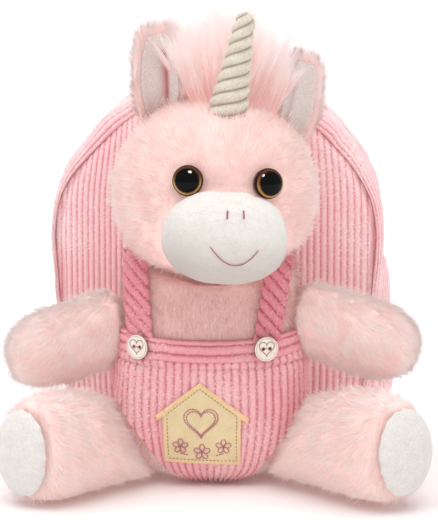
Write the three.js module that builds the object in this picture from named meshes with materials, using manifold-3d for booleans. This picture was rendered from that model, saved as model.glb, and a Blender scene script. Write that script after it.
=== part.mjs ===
// A small child's backpack in pink corduroy with a plush unicorn sitting on its front.
// The bag is a hollow shell of front panel, gusset with an arched zip, and back panel, with
// side pockets, shoulder straps and a carrying loop. The unicorn is stuffed, wears corduroy
// dungarees with two buttons and a felt patch, and rests on the floor together with the bag.
// Millimetres, +Z up, the unicorn looks towards -Y. The finished group is moved so that the
// middle of its footprint is the origin.
import * as THREE from "three";
import { mergeVertices } from "three/addons/utils/BufferGeometryUtils.js";
import Module from "manifold-3d";

const wasm = await Module();
wasm.setup();

// Gap between pieces that touch
const CLEARANCE = 0.4;

// Bag: outer width and height over the gusset, depth between the two seams
const BAG_WIDTH = 244;
const BAG_HEIGHT = 282;
const BAG_DEPTH = 88;
const BAG_WALL = 3;
const BAG_TAPER = 11;
const BAG_CORNER = 26;
const BACK_PADDING = 4;
const GUSSET_BULGE = 7.5;
const PANEL_DOME = 8;
const FRONT_SEAM_Y = 12;
const ZIP_WIDTH = 12;
const ZIP_START_HEIGHT = 150;
const ZIP_TEETH_WIDTH = 4;
const ZIP_TEETH_RISE = 1;
const SLIDER_LENGTH = 13;
const SLIDER_WIDTH = 9;
const SLIDER_THICKNESS = 4;
const PULL_LENGTH = 22;
const PULL_THICKNESS = 1.6;

// Side pockets: rim and bottom height, how far the belly stands off, cloth thickness
const POCKET_RIM_HEIGHT = 144;
const POCKET_BOTTOM_HEIGHT = 12;
const POCKET_BULGE_LEFT = 1;
const POCKET_BULGE_RIGHT = 18;
const POCKET_WALL = 1.8;
const POCKET_EDGE_INSET = 8;

// Carrying loop and shoulder straps on the back panel
const LOOP_WEB_WIDTH = 20;
const LOOP_WEB_THICKNESS = 2;
const LOOP_SPAN = 80;
const LOOP_REACH = 16;
const LOOP_HEIGHT = 242;
const PAD_WIDTH = 40;
const PAD_THICKNESS = 8;
const WEB_WIDTH = 20;
const WEB_THICKNESS = 1.8;
const STRAP_REACH = 30;
const STRAP_TOP_HEIGHT = 219;
const STRAP_END_HEIGHT = 18;
const STRAP_TOP_X = 34;
const STRAP_END_X = 84;
const ADJUSTER_LENGTH = 14;
const ADJUSTER_WALL = 2;

// Unicorn head: centre, half sizes and turn
const HEAD_X = 1.8;
const HEAD_Y = -64;
const HEAD_Z = 205;
const HEAD_HALF_WIDTH = 73.5;
const HEAD_HALF_DEPTH = 66;
const HEAD_HALF_HEIGHT = 66;
const HEAD_YAW = THREE.MathUtils.degToRad(12);
const HEAD_ROLL = THREE.MathUtils.degToRad(3);
const MUZZLE_X = -2;
const MUZZLE_HALF_WIDTH = 44;
const MUZZLE_HALF_HEIGHT = 33;
const MUZZLE_REACH = 34;
const MUZZLE_DROP = 25;
const EYE_RADIUS = 10.5;
const EYE_SPREAD = 28;
const EYE_HEIGHT = 11.5;
const EYE_RISE = 5.5;
const HORN_X = 3.5;
const HORN_FORWARD = 24;
const HORN_LENGTH = 73;
const HORN_SEAT = 14;
const HORN_BASE_RADIUS = 14.5;
const HORN_TIP_RADIUS = 5.5;
const HORN_GROOVE = 2;
const HORN_LEAD = 10.5;
const HORN_LEAN = THREE.MathUtils.degToRad(6);
const EAR_HEIGHT = 52;
const EAR_SEAT = 10;
const EAR_HALF_WIDTH = 13;
const EAR_THICKNESS = 5;
const EAR_LINING = 1.6;
const EAR_RIM = 3.5;
const EAR_CUP = THREE.MathUtils.degToRad(58);
const EAR_BACK = 6;
const EAR_LEFT = { x: -38, lean: -5, turn: -12, sink: 0 };
const EAR_RIGHT = { x: 48, lean: 13, turn: 24, sink: 7 };
const MANE_X = 10;
const MANE_HEIGHT = 73;
const MANE_ROOT_HALF_WIDTH = 24;
const MANE_ROOT_RISE = 12;
const MANE_SPREAD = 0.42;
const MANE_LOCK_RADIUS = 11;
const MANE_LOCKS = 6;
const MANE_ROWS = 2;
const MANE_ROW_STEP = 15;

// Unicorn body and limbs. A limb starts at x, y, z, is turned away from +X in plan and
// rises or falls towards its end, in degrees.
const BODY_X = -1.5;
const BODY_Y = -48;
const BODY_HEIGHT = 168;
const BODY_BOTTOM = 2.6;
const BODY_HALF_WIDTH = 68;
const BODY_HALF_DEPTH = 51;
const ARM_RADIUS = 28.5;
const ARM_LEFT = { x: -53, y: -43, z: 112, length: 103, turn: 153, rise: -15 };
const ARM_RIGHT = { x: 51, y: -43, z: 117, length: 108, turn: 29, rise: -11 };
const LEG_RADIUS = 39;
const LEG_LEFT = { x: -45, y: -60, z: 36.5, length: 120, turn: 129, rise: 0.2 };
const LEG_RIGHT = { x: 46, y: -60, z: 37.5, length: 127, turn: 47.5, rise: 1.2 };
const SOLE_THICKNESS = 5;

// Dungarees
const CLOTH = 1.8;
const WAIST_HEIGHT = 90.5;
const WAIST_DIP = 5;
const WAISTBAND_HEIGHT = 11;
const WAISTBAND_THICKNESS = 3.4;
const HEM_HALF_WIDTH = 69;
const HEM_HEIGHT = 66;
const BRACE_WIDTH = 18;
const BRACE_THICKNESS = 2.6;
const BRACE_LEFT = { low: -45, top: -52.5 };
const BRACE_RIGHT = { low: 38.5, top: 51 };
const BUTTON_RADIUS = 7.8;
const BUTTON_THICKNESS = 2.6;
const BUTTON_CHAMFER = 0.5;
const BUTTON_HOLE_RADIUS = 1.1;
const BUTTON_HOLE_SPACING = 4.6;
const BUTTON_HEIGHT = 98.5;
const PATCH_X = -3;
const PATCH_WIDTH = 56;
const PATCH_ROOF_WIDTH = 65;
const PATCH_HEIGHT = 57;
const PATCH_EAVE_HEIGHT = 31;
const PATCH_ROOF_EDGE = 3;
const PATCH_THICKNESS = 1.2;
const PATCH_BOTTOM = 18;

const COLOURS = {
  corduroy: 0xe88fa2,
  plush: 0xf3cdc8,
  velvet: 0xf4f0ec,
  horn: 0xd9cdbb,
  mane: 0xf4cfcc,
  felt: 0xe7cf9b,
  wood: 0xeeddca,
  eye: 0x14100d,
  webbing: 0xdc8296,
  plastic: 0xd98c9c,
};

const { cos, sin, sqrt, abs, max, sign, PI } = Math;
const { degToRad, clamp, smoothstep } = THREE.MathUtils;
const vec = (x, y, z) => new THREE.Vector3(x, y, z);

// Mesh with its geometry, placed by a matrix if one is given
function mesh(name, geometry, colour, matrix, roughness = 0.9) {
  const material = new THREE.MeshStandardMaterial({ color: colour, roughness, metalness: 0 });
  const made = new THREE.Mesh(geometry, material);
  made.name = name;
  if (matrix) made.applyMatrix4(matrix);
  return made;
}

// A closed mesh as a solid that can be cut and joined, and back again
function solidOf(geometry) {
  const bare = new THREE.BufferGeometry();
  bare.setAttribute("position", geometry.getAttribute("position").clone());
  if (geometry.index) bare.setIndex(geometry.index.clone());
  const merged = mergeVertices(bare, 1e-4);
  return new wasm.Manifold(
    new wasm.Mesh({
      numProp: 3,
      vertProperties: new Float32Array(merged.getAttribute("position").array),
      triVerts: new Uint32Array(merged.index.array),
    }),
  );
}

function geometryOf(solid) {
  const data = solid.getMesh();
  const positions = new Float32Array(data.numVert * 3);
  for (let i = 0; i < data.numVert; i++) {
    for (let k = 0; k < 3; k++) positions[i * 3 + k] = data.vertProperties[i * data.numProp + k];
  }
  const geometry = new THREE.BufferGeometry();
  geometry.setAttribute("position", new THREE.BufferAttribute(positions, 3));
  geometry.setIndex(new THREE.BufferAttribute(new Uint32Array(data.triVerts), 1));
  geometry.computeVertexNormals();
  return geometry;
}

// A solid seen from a frame that stands at matrix, and the way back
const intoFrame = (matrix, solid) => solid.transform(matrix.clone().invert().elements);
const outOfFrame = (matrix, solid) => solid.transform(matrix.elements);

const without = (solid, ...cutters) => cutters.reduce((left, cutter) => left.subtract(cutter), solid);
const joined = (...solids) => solids.reduce((all, solid) => all.add(solid));

// What is left of a cut solid, without loose slivers
function largest(solid) {
  const pieces = solid.decompose();
  return pieces.reduce((best, piece) => (piece.volume() > best.volume() ? piece : best));
}

// A closed surface through rings of equally many points, with a fan over either end, or closed
// into a ring when loop is true. Its volume tells which way round the faces go.
function skin(rings, loop = false) {
  const points = rings.flat();
  const sides = rings[0].length;
  const faces = [];
  const spans = loop ? rings.length : rings.length - 1;
  for (let r = 0; r < spans; r++) {
    const a = r * sides;
    const b = ((r + 1) % rings.length) * sides;
    for (let i = 0; i < sides; i++) {
      const j = (i + 1) % sides;
      faces.push(a + i, a + j, b + j, a + i, b + j, b + i);
    }
  }
  const fans = loop ? [] : [[0, true], [rings.length - 1, false]];
  for (const [ring, flip] of fans) {
    const centre = vec(0, 0, 0);
    rings[ring].forEach((p) => centre.addScaledVector(p, 1 / sides));
    points.push(centre);
    for (let i = 0; i < sides; i++) {
      const a = ring * sides + i;
      const b = ring * sides + ((i + 1) % sides);
      faces.push(...(flip ? [points.length - 1, b, a] : [points.length - 1, a, b]));
    }
  }
  let volume = 0;
  for (let i = 0; i < faces.length; i += 3) {
    const [a, b, c] = [points[faces[i]], points[faces[i + 1]], points[faces[i + 2]]];
    volume += a.dot(vec(0, 0, 0).crossVectors(b, c));
  }
  if (volume < 0) faces.reverse();
  const geometry = new THREE.BufferGeometry();
  const flat = points.flatMap((p) => [p.x, p.y, p.z]);
  geometry.setAttribute("position", new THREE.Float32BufferAttribute(flat, 3));
  geometry.setIndex(faces);
  geometry.computeVertexNormals();
  return geometry;
}

// The wall between two surfaces that are each given over u and v from 0 to 1
function wallBetween(acrossSteps, alongSteps, outer, inner) {
  const us = Array.from({ length: acrossSteps + 1 }, (_, i) => i / acrossSteps);
  const back = [...us].reverse();
  const rings = Array.from({ length: alongSteps + 1 }, (_, j) => {
    const v = j / alongSteps;
    return [...us.map((u) => outer(u, v)), ...back.map((u) => inner(u, v))];
  });
  return skin(rings);
}

// A block between two corners, and flat outlines pushed through along Y or along X
function block(x0, x1, y0, y1, z0, z1) {
  const box = new THREE.BoxGeometry(x1 - x0, y1 - y0, z1 - z0);
  return solidOf(box.translate((x0 + x1) / 2, (y0 + y1) / 2, (z0 + z1) / 2));
}

function pushed(corners, from, to, basis) {
  const shape = new THREE.Shape(corners.map(([a, b]) => new THREE.Vector2(a, b)));
  const form = new THREE.ExtrudeGeometry(shape, { depth: to - from, bevelEnabled: false });
  return solidOf(form.translate(0, 0, from).applyMatrix4(basis));
}

const alongY = new THREE.Matrix4().makeBasis(vec(1, 0, 0), vec(0, 0, 1), vec(0, -1, 0));
const alongX = new THREE.Matrix4().makeBasis(vec(0, 1, 0), vec(0, 0, 1), vec(1, 0, 0));

// A column of a table at a share from 0 to 1, on a smooth curve through its rows
function readColumn(table, column, share) {
  let k = 0;
  while (k < table.length - 2 && table[k + 1].at < share) k++;
  const row = (i) => table[clamp(i, 0, table.length - 1)];
  const [p0, p1, p2, p3] = [row(k - 1), row(k), row(k + 1), row(k + 2)];
  const span = p2.at - p1.at;
  const t = clamp((share - p1.at) / span, 0, 1);
  const slope = (a, b) => (b.at > a.at ? ((b[column] - a[column]) / (b.at - a.at)) * span : 0);
  const [t2, t3] = [t * t, t * t * t];
  return (
    (2 * t3 - 3 * t2 + 1) * p1[column] + (t3 - 2 * t2 + t) * slope(p0, p2) +
    (3 * t2 - 2 * t3) * p2[column] + (t3 - t2) * slope(p1, p3)
  );
}

// How far a rounded square section reaches at an angle, as a share of its half sizes
const squareness = (angle, power) =>
  (abs(cos(angle)) ** power + abs(sin(angle)) ** power) ** (-1 / power);

// A stuffed form along +Z. Each row of its table gives, at a share of the length, the half
// width and half depth as shares of the named half sizes, and a shift in Y.
function stuffed({ length, halfWidth, halfDepth, table, sides, steps, square = 2 }, grow = 0) {
  const rings = Array.from({ length: steps + 1 }, (_, j) => {
    const share = (1 - cos((PI * (j + 0.3)) / (steps + 0.6))) / 2;
    const a = max(readColumn(table, "width", share) * halfWidth, 0.5) + grow;
    const b = max(readColumn(table, "depth", share) * halfDepth, 0.5) + grow;
    const y = readColumn(table, "shift", share) * halfDepth;
    const z = share * length + grow * (2 * share - 1);
    return Array.from({ length: sides }, (_, i) => {
      const angle = (2 * PI * i) / sides;
      const pull = squareness(angle, square);
      return vec(a * pull * cos(angle), y + b * pull * sin(angle), z);
    });
  });
  return skin(rings);
}

// Bag outline at the seams, in X and Z, from the middle of the bottom anticlockwise
const OUTLINE_STEPS = 36;
const seamHalfWidth = BAG_WIDTH / 2 - GUSSET_BULGE;
const archCentre = BAG_HEIGHT - GUSSET_BULGE - seamHalfWidth;
const bottomHalfWidth = seamHalfWidth - BAG_TAPER;
const backSeamY = FRONT_SEAM_Y + BAG_DEPTH;
const outline = new THREE.Path();
outline.moveTo(0, 0);
outline.lineTo(bottomHalfWidth - BAG_CORNER, 0);
outline.quadraticCurveTo(bottomHalfWidth, 0, bottomHalfWidth, BAG_CORNER);
outline.lineTo(seamHalfWidth, archCentre);
outline.absarc(0, archCentre, seamHalfWidth, 0, PI, false);
outline.lineTo(-bottomHalfWidth, BAG_CORNER);
outline.quadraticCurveTo(-bottomHalfWidth, 0, BAG_CORNER - bottomHalfWidth, 0);
outline.lineTo(0, 0);
outline.arcLengthDivisions = 800;

// The outline point and its outward normal at a share of the way round
function outlineAt(share) {
  const point = outline.getPointAt(share % 1);
  const tangent = outline.getTangentAt(share % 1);
  return { x: point.x, z: point.y, nx: tangent.y, nz: -tangent.x };
}

// How far the gusset stands out of the seam outline: not under the bag, fully up its sides
function bulgeAt(z, y) {
  const rise = smoothstep(z, BAG_CORNER * 0.2, BAG_CORNER * 2.2);
  return rise * GUSSET_BULGE * sin(PI * clamp((y - FRONT_SEAM_Y) / BAG_DEPTH, 0, 1));
}

// A strip of the gusset through the depths ys, from one share of the outline to another.
// outer and inner say how far its faces lie off the cloth's outside.
function gussetStrip({ from, to, ys, steps, outer, inner }) {
  const closed = to - from >= 1;
  const back = [...ys].reverse();
  const rings = Array.from({ length: steps + (closed ? 0 : 1) }, (_, k) => {
    const at = outlineAt(from + ((to - from) * k) / steps);
    const place = (y, out) => {
      const off = bulgeAt(at.z, y) + out;
      return vec(at.x + at.nx * off, y, at.z + at.nz * off);
    };
    return [...ys.map((y) => place(y, outer(y))), ...back.map((y) => place(y, inner))];
  });
  return skin(rings, closed);
}

// The share of the outline where its right side reaches a height
function shareAtHeight(z) {
  let [low, high] = [0.1, 0.5];
  for (let i = 0; i < 30; i++) {
    const middle = (low + high) / 2;
    if (outlineAt(middle).z < z) low = middle;
    else high = middle;
  }
  return low;
}

const zipFrom = shareAtHeight(ZIP_START_HEIGHT);
const zipTo = 1 - zipFrom;
const zipSteps = 16;
const zipMiddleY = FRONT_SEAM_Y + BAG_DEPTH / 2;
const [zipY0, zipY1] = [zipMiddleY - ZIP_WIDTH / 2, zipMiddleY + ZIP_WIDTH / 2];

function gussetBand(grow = 0) {
  const half = BAG_DEPTH / 2;
  const ys = [0, half * 0.45, zipY0 - FRONT_SEAM_Y, zipY1 - FRONT_SEAM_Y, half * 1.55, BAG_DEPTH];
  const strip = gussetStrip({
    from: 0, to: 1, ys: ys.map((y) => y + FRONT_SEAM_Y), steps: OUTLINE_STEPS,
    outer: () => grow, inner: -BAG_WALL,
  });
  return solidOf(strip);
}

function gusset() {
  const slot = gussetStrip({
    from: zipFrom, to: zipTo, ys: [zipY0, zipY1], steps: zipSteps,
    outer: () => BAG_WALL, inner: -2 * BAG_WALL,
  });
  return geometryOf(largest(without(gussetBand(), solidOf(slot))));
}

// Tape with a raised row of teeth along its middle
function zipTape() {
  const gap = CLEARANCE / outline.getLength();
  const [t0, t1] = [zipMiddleY - ZIP_TEETH_WIDTH / 2, zipMiddleY + ZIP_TEETH_WIDTH / 2];
  const ys = [zipY0 + CLEARANCE, t0, t1, zipY1 - CLEARANCE];
  return gussetStrip({
    from: zipFrom + gap, to: zipTo - gap, ys, steps: zipSteps,
    outer: (y) => (y >= t0 && y <= t1 ? ZIP_TEETH_RISE : 0) - BAG_WALL / 2, inner: -BAG_WALL,
  });
}

// Slider and pull as one plain piece, profile in X and Z, lying on the arch's top
function zipSlider() {
  const half = SLIDER_LENGTH / 2;
  const [low, high] = [SLIDER_THICKNESS - 2 * PULL_THICKNESS, SLIDER_THICKNESS - PULL_THICKNESS];
  const corners = [
    [-half, 0], [half, 0], [half * 0.8, SLIDER_THICKNESS], [-half * 0.3, SLIDER_THICKNESS],
    [-half * 0.6, high], [-half - PULL_LENGTH, high - PULL_THICKNESS],
    [-half - PULL_LENGTH, high - 2 * PULL_THICKNESS], [-half, low],
  ];
  const [y0, y1] = [zipMiddleY - SLIDER_WIDTH / 2, zipMiddleY + SLIDER_WIDTH / 2];
  return geometryOf(pushed(corners, -y1, -y0, alongY));
}

// A panel over the bag outline. Its middle stands out by dome towards direction.
function bagPanel({ edgeY, thickness, dome = 0, direction, shares }) {
  const middleZ = archCentre * 0.9;
  const ring = (share, y) =>
    Array.from({ length: OUTLINE_STEPS }, (_, k) => {
      const at = outlineAt(k / OUTLINE_STEPS);
      const z = middleZ + (at.z - middleZ) * share;
      return vec(at.x * share, y + direction * dome * (1 - share ** 2.4), z);
    });
  return skin([
    ...shares.map((share) => ring(share, edgeY)),
    ...[...shares].reverse().map((share) => ring(share, edgeY + direction * thickness)),
  ]);
}

const frontPanel = {
  edgeY: FRONT_SEAM_Y - CLEARANCE, thickness: BAG_WALL, dome: PANEL_DOME, direction: -1,
  shares: [0.4, 0.75, 1],
};
const backPanel = {
  edgeY: backSeamY + CLEARANCE, thickness: BACK_PADDING, direction: 1, shares: [1],
};
const backFaceY = backPanel.edgeY + BACK_PADDING;

// All that lies behind the front panel's face, and a clearance more
const behindFront = solidOf(
  bagPanel({
    ...frontPanel, edgeY: frontPanel.edgeY + BAG_DEPTH,
    thickness: BAG_DEPTH + BAG_WALL + CLEARANCE,
  }),
);
const underFloor = block(-BAG_WIDTH, BAG_WIDTH, -2 * BAG_HEIGHT, BAG_HEIGHT, -BAG_HEIGHT, 0);

// How far a pocket stands off the gusset, as a share of its bulge, by share of its height
const POCKET_PROFILE = [
  { at: 0, off: 0 },
  { at: 0.1, off: 0.75 },
  { at: 0.28, off: 1 },
  { at: 0.65, off: 0.6 },
  { at: 1, off: 0.1 },
];

function sidePocket(side, bulge) {
  const [y0, y1] = [FRONT_SEAM_Y + POCKET_EDGE_INSET, backSeamY - POCKET_EDGE_INSET];
  const face = (extra) => (u, v) => {
    const y = y0 + (y1 - y0) * u;
    const z = POCKET_BOTTOM_HEIGHT + (POCKET_RIM_HEIGHT - POCKET_BOTTOM_HEIGHT) * v;
    const at = outlineAt(shareAtHeight(z));
    const off = readColumn(POCKET_PROFILE, "off", v) * bulge * sin(PI * u) ** 0.6;
    return vec(side * (at.x + bulgeAt(z, y) + 1.5 * CLEARANCE + off + extra), y, z);
  };
  const cloth = solidOf(wallBetween(8, 8, face(POCKET_WALL), face(0)));
  return geometryOf(largest(without(cloth, gussetBand(CLEARANCE))));
}

// A band of flat section along points. across is the way its width runs.
function band(points, width, thickness, steps, across) {
  const curve = new THREE.CatmullRomCurve3(points, false, "centripetal");
  const rings = Array.from({ length: steps + 1 }, (_, k) => {
    const p = curve.getPointAt(k / steps);
    const along = curve.getTangentAt(k / steps);
    const normal = vec(0, 0, 0).crossVectors(across, along).normalize();
    const side = vec(0, 0, 0).crossVectors(along, normal);
    const corner = (a, b) =>
      p.clone().addScaledVector(side, (a * width) / 2).addScaledVector(normal, (b * thickness) / 2);
    return [
      corner(-1, -0.5), corner(-0.9, -1), corner(0.9, -1), corner(1, -0.5),
      corner(1, 0.5), corner(0.9, 1), corner(-0.9, 1), corner(-1, 0.5),
    ];
  });
  return solidOf(skin(rings));
}

const backPanelSpace = block(
  -BAG_WIDTH, BAG_WIDTH, FRONT_SEAM_Y, backFaceY + CLEARANCE, -BAG_HEIGHT, 2 * BAG_HEIGHT,
);

// Webbing that lies on the back panel at both ends and stands off it in between
const LOOP_ROUTE = [
  { at: -0.5, out: 0 },
  { at: -0.34, out: 0 },
  { at: -0.2, out: 0.8 },
  { at: 0, out: 1 },
  { at: 0.2, out: 0.8 },
  { at: 0.34, out: 0 },
  { at: 0.5, out: 0 },
];

function carryingLoop() {
  const y0 = backFaceY + CLEARANCE + LOOP_WEB_THICKNESS / 2;
  const points = LOOP_ROUTE.map((row) =>
    vec(row.at * LOOP_SPAN, y0 + row.out * LOOP_REACH, LOOP_HEIGHT),
  );
  const web = band(points, LOOP_WEB_WIDTH, LOOP_WEB_THICKNESS, 14, vec(0, 0, 1));
  return geometryOf(largest(without(web, backPanelSpace)));
}

// Route of a shoulder strap: a share of the way down from its top seam to its end, and of
// its reach behind the bag
const PAD_ROUTE = [
  { along: -0.03, out: -0.3 },
  { along: 0.08, out: 0.5 },
  { along: 0.35, out: 0.95 },
  { along: 0.6, out: 1 },
  { along: 0.72, out: 0.9 },
];
const WEB_ROUTE = [
  { along: 0.726, out: 0.893 },
  { along: 0.77, out: 0.83 },
  { along: 0.814, out: 0.767 },
  { along: 0.9, out: 0.42 },
  { along: 1.02, out: -0.25 },
];

function strapPoint(side, row) {
  const x = STRAP_TOP_X + (STRAP_END_X - STRAP_TOP_X) * row.along;
  const z = STRAP_TOP_HEIGHT + (STRAP_END_HEIGHT - STRAP_TOP_HEIGHT) * row.along;
  return vec(side * x, backFaceY + PAD_THICKNESS / 2 + row.out * STRAP_REACH, z);
}

function strapBand(side, route, width, thickness, steps) {
  const points = route.map((row) => strapPoint(side, row));
  const across = vec(1, 0, 0);
  return largest(without(band(points, width, thickness, steps, across), backPanelSpace));
}

// A slide round the webbing's upper end
function adjuster(side) {
  const top = strapPoint(side, WEB_ROUTE[0]);
  const along = strapPoint(side, WEB_ROUTE[1]).sub(top).normalize();
  const normal = vec(0, 0, 0).crossVectors(vec(1, 0, 0), along).normalize();
  const across = vec(0, 0, 0).crossVectors(along, normal);
  const length = ADJUSTER_LENGTH;
  const inner = [WEB_WIDTH + 2 * CLEARANCE, WEB_THICKNESS + 3 * CLEARANCE];
  const outer = inner.map((size) => size + 2 * ADJUSTER_WALL);
  const bar = ([w, t], l0, l1) => block(-w / 2, w / 2, -t / 2, t / 2, l0, l1);
  const sleeve = without(bar(outer, 1, 1 + length), bar(inner, -length, 3 * length));
  const place = new THREE.Matrix4().makeBasis(across, normal, along).setPosition(top);
  return { solid: sleeve, place };
}

// The head's frame: X to the viewer's right, -Y ahead, Z up
const headPlace = new THREE.Matrix4()
  .makeRotationFromEuler(new THREE.Euler(0, HEAD_ROLL, HEAD_YAW, "ZYX"))
  .setPosition(HEAD_X, HEAD_Y, HEAD_Z);

const HEAD_TABLE = [
  { at: 0, width: 0, depth: 0, shift: 0 },
  { at: 0.05, width: 0.44, depth: 0.42, shift: 0 },
  { at: 0.15, width: 0.74, depth: 0.72, shift: 0 },
  { at: 0.3, width: 0.94, depth: 0.93, shift: 0 },
  { at: 0.48, width: 1, depth: 1, shift: 0 },
  { at: 0.68, width: 0.93, depth: 0.94, shift: 0 },
  { at: 0.86, width: 0.7, depth: 0.72, shift: 0 },
  { at: 0.96, width: 0.4, depth: 0.42, shift: 0 },
  { at: 1, width: 0, depth: 0, shift: 0 },
];
const MUZZLE_TABLE = [
  { at: 0, width: 0.7, depth: 0.7, shift: 0 },
  { at: 0.45, width: 1, depth: 1, shift: 0 },
  { at: 0.68, width: 0.97, depth: 0.98, shift: 0.01 },
  { at: 0.84, width: 0.8, depth: 0.82, shift: 0.03 },
  { at: 0.95, width: 0.5, depth: 0.52, shift: 0.05 },
  { at: 1, width: 0, depth: 0, shift: 0.05 },
];

function headSolid(grow = 0) {
  const form = stuffed({
    length: 2 * HEAD_HALF_HEIGHT, halfWidth: HEAD_HALF_WIDTH, halfDepth: HEAD_HALF_DEPTH,
    table: HEAD_TABLE, sides: 20, steps: 11, square: 2.2,
  }, grow);
  return solidOf(form.translate(0, 0, -HEAD_HALF_HEIGHT));
}

// The muzzle runs ahead, from inside the head to its tip
function muzzleSolid(grow = 0) {
  const sunk = HEAD_HALF_DEPTH * 0.6;
  const form = stuffed({
    length: sunk + MUZZLE_REACH, halfWidth: MUZZLE_HALF_WIDTH, halfDepth: MUZZLE_HALF_HEIGHT,
    table: MUZZLE_TABLE, sides: 20, steps: 9, square: 2.3,
  }, grow);
  form.rotateX(PI / 2).translate(MUZZLE_X, sunk - HEAD_HALF_DEPTH, -MUZZLE_DROP);
  return solidOf(form);
}

// The front of the head above or below a place beside its middle
function onHead(x, z) {
  const flat = 1 - (x / HEAD_HALF_WIDTH) ** 2 - (z / HEAD_HALF_HEIGHT) ** 2;
  return vec(x, -HEAD_HALF_DEPTH * sqrt(max(flat, 0)), z);
}

// A domed eye, half sunk in the head
function eyeSolid(side) {
  const at = onHead(side * EYE_SPREAD, EYE_HEIGHT);
  const outward = at.clone().normalize().lerp(vec(0, -1, 0), 0.35).normalize();
  const profile = [new THREE.Vector2(0, -EYE_RISE), new THREE.Vector2(EYE_RADIUS, -EYE_RISE)];
  for (const share of [0, 0.35, 0.7, 1]) {
    const angle = (share * PI) / 2;
    const radius = share < 1 ? EYE_RADIUS * cos(angle) : 0;
    profile.push(new THREE.Vector2(radius, EYE_RISE * sin(angle)));
  }
  const dome = new THREE.LatheGeometry(profile, 12);
  const turn = new THREE.Quaternion().setFromUnitVectors(vec(0, 1, 0), outward);
  return solidOf(dome.applyQuaternion(turn).translate(at.x, at.y, at.z));
}

// A blunt cone wound round by one ridge that rises by HORN_LEAD each turn
function hornSolid(grow = 0) {
  const sides = 12;
  const steps = 27;
  const rings = Array.from({ length: steps + 1 }, (_, j) => {
    const share = j / steps;
    const z = share * HORN_LENGTH + grow * (2 * share - 1);
    const blunt = sqrt(1 - clamp((share - 0.92) / 0.09, 0, 0.95) ** 2);
    const plain = (HORN_BASE_RADIUS + (HORN_TIP_RADIUS - HORN_BASE_RADIUS) * share) * blunt;
    return Array.from({ length: sides }, (_, i) => {
      const angle = (2 * PI * i) / sides;
      const turns = (share * HORN_LENGTH) / HORN_LEAD - angle / (2 * PI);
      const ridge = abs(sin(PI * turns));
      const groove = (HORN_GROOVE * plain * (1 - ridge)) / HORN_BASE_RADIUS;
      const r = max(plain - groove, 0.6) + grow;
      return vec(r * cos(angle), r * sin(angle), z);
    });
  });
  const form = skin(rings).rotateY(HORN_LEAN);
  return solidOf(form.translate(HORN_X, -HORN_FORWARD, HEAD_HALF_HEIGHT - HORN_SEAT));
}

// Ear outline: half width as a share of EAR_HALF_WIDTH, by share of the height
const EAR_TABLE = [
  { at: 0, width: 0.72 },
  { at: 0.3, width: 1 },
  { at: 0.6, width: 0.97 },
  { at: 0.82, width: 0.78 },
  { at: 0.94, width: 0.54 },
  { at: 1, width: 0.28 },
];

// A cupped leaf along +Z that opens towards -Y. rim widens it, and back is how far behind
// the lining's seat the face lies.
function earFace(rim, back) {
  return (u, v) => {
    const half = readColumn(EAR_TABLE, "width", v) * EAR_HALF_WIDTH + rim;
    const angle = (2 * u - 1) * EAR_CUP;
    const radius = half / sin(EAR_CUP) + back;
    const sag = half / sin(EAR_CUP);
    return vec(radius * sin(angle), radius * cos(angle) - sag, v * (EAR_HEIGHT + EAR_SEAT + rim));
  };
}

function earPlace({ x, lean, turn, sink }) {
  const rise = HEAD_HALF_HEIGHT * sqrt(1 - (x / HEAD_HALF_WIDTH) ** 2) - EAR_SEAT - sink;
  return new THREE.Matrix4()
    .makeRotationFromEuler(new THREE.Euler(0, degToRad(lean), degToRad(turn), "ZYX"))
    .setPosition(x, EAR_BACK, rise);
}

function earSolid(ear, grow = 0) {
  const outer = earFace(EAR_RIM + grow, EAR_THICKNESS + grow);
  const inner = earFace(EAR_RIM + grow, -grow);
  return outOfFrame(earPlace(ear), solidOf(wallBetween(6, 6, outer, inner)));
}

function earLiningSolid(ear, grow = 0) {
  const outer = earFace(grow, grow - CLEARANCE);
  const inner = earFace(grow, -CLEARANCE - EAR_LINING - grow);
  return outOfFrame(earPlace(ear), solidOf(wallBetween(6, 6, outer, inner)));
}

// One tapering lock of long pile that leans more and more towards its tip
function maneLock(base, lean, length) {
  const steps = 3;
  const sides = 5;
  const rings = Array.from({ length: steps + 1 }, (_, j) => {
    const share = j / steps;
    const width = MANE_LOCK_RADIUS * (1 - 0.84 * share ** 1.4);
    const bend = lean * (0.6 * share + 0.4 * share ** 2);
    const centre = base.clone().add(vec(length * bend, 0, length * share));
    return Array.from({ length: sides }, (_, i) => {
      const angle = (2 * PI * i) / sides;
      return centre.clone().add(vec(width * cos(angle), 0.85 * width * sin(angle), 0));
    });
  });
  return solidOf(skin(rings));
}

// A tuft behind the horn: a low backing on the crown with rows of locks, tallest in the middle
function maneSolid() {
  const crown = HEAD_HALF_HEIGHT - MANE_ROOT_RISE;
  const root = new THREE.SphereGeometry(1, 12, 7);
  root.scale(MANE_ROOT_HALF_WIDTH, MANE_ROOT_HALF_WIDTH, MANE_ROOT_RISE + 6);
  let tuft = solidOf(root.translate(MANE_X, 0, crown));
  for (let row = 0; row < MANE_ROWS; row++) {
    const count = MANE_LOCKS - (row % 2);
    for (let k = 0; k < count; k++) {
      const side = (2 * k + 1) / count - 1;
      const length = (MANE_HEIGHT - MANE_ROOT_RISE) * (1 - 0.24 * side ** 2 - 0.06 * row);
      const x = MANE_X + side * (MANE_ROOT_HALF_WIDTH - MANE_LOCK_RADIUS);
      const y = (row - (MANE_ROWS - 1) / 2) * MANE_ROW_STEP;
      tuft = tuft.add(maneLock(vec(x, y, crown), side * MANE_SPREAD, length + MANE_ROOT_RISE));
    }
  }
  return tuft;
}

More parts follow.
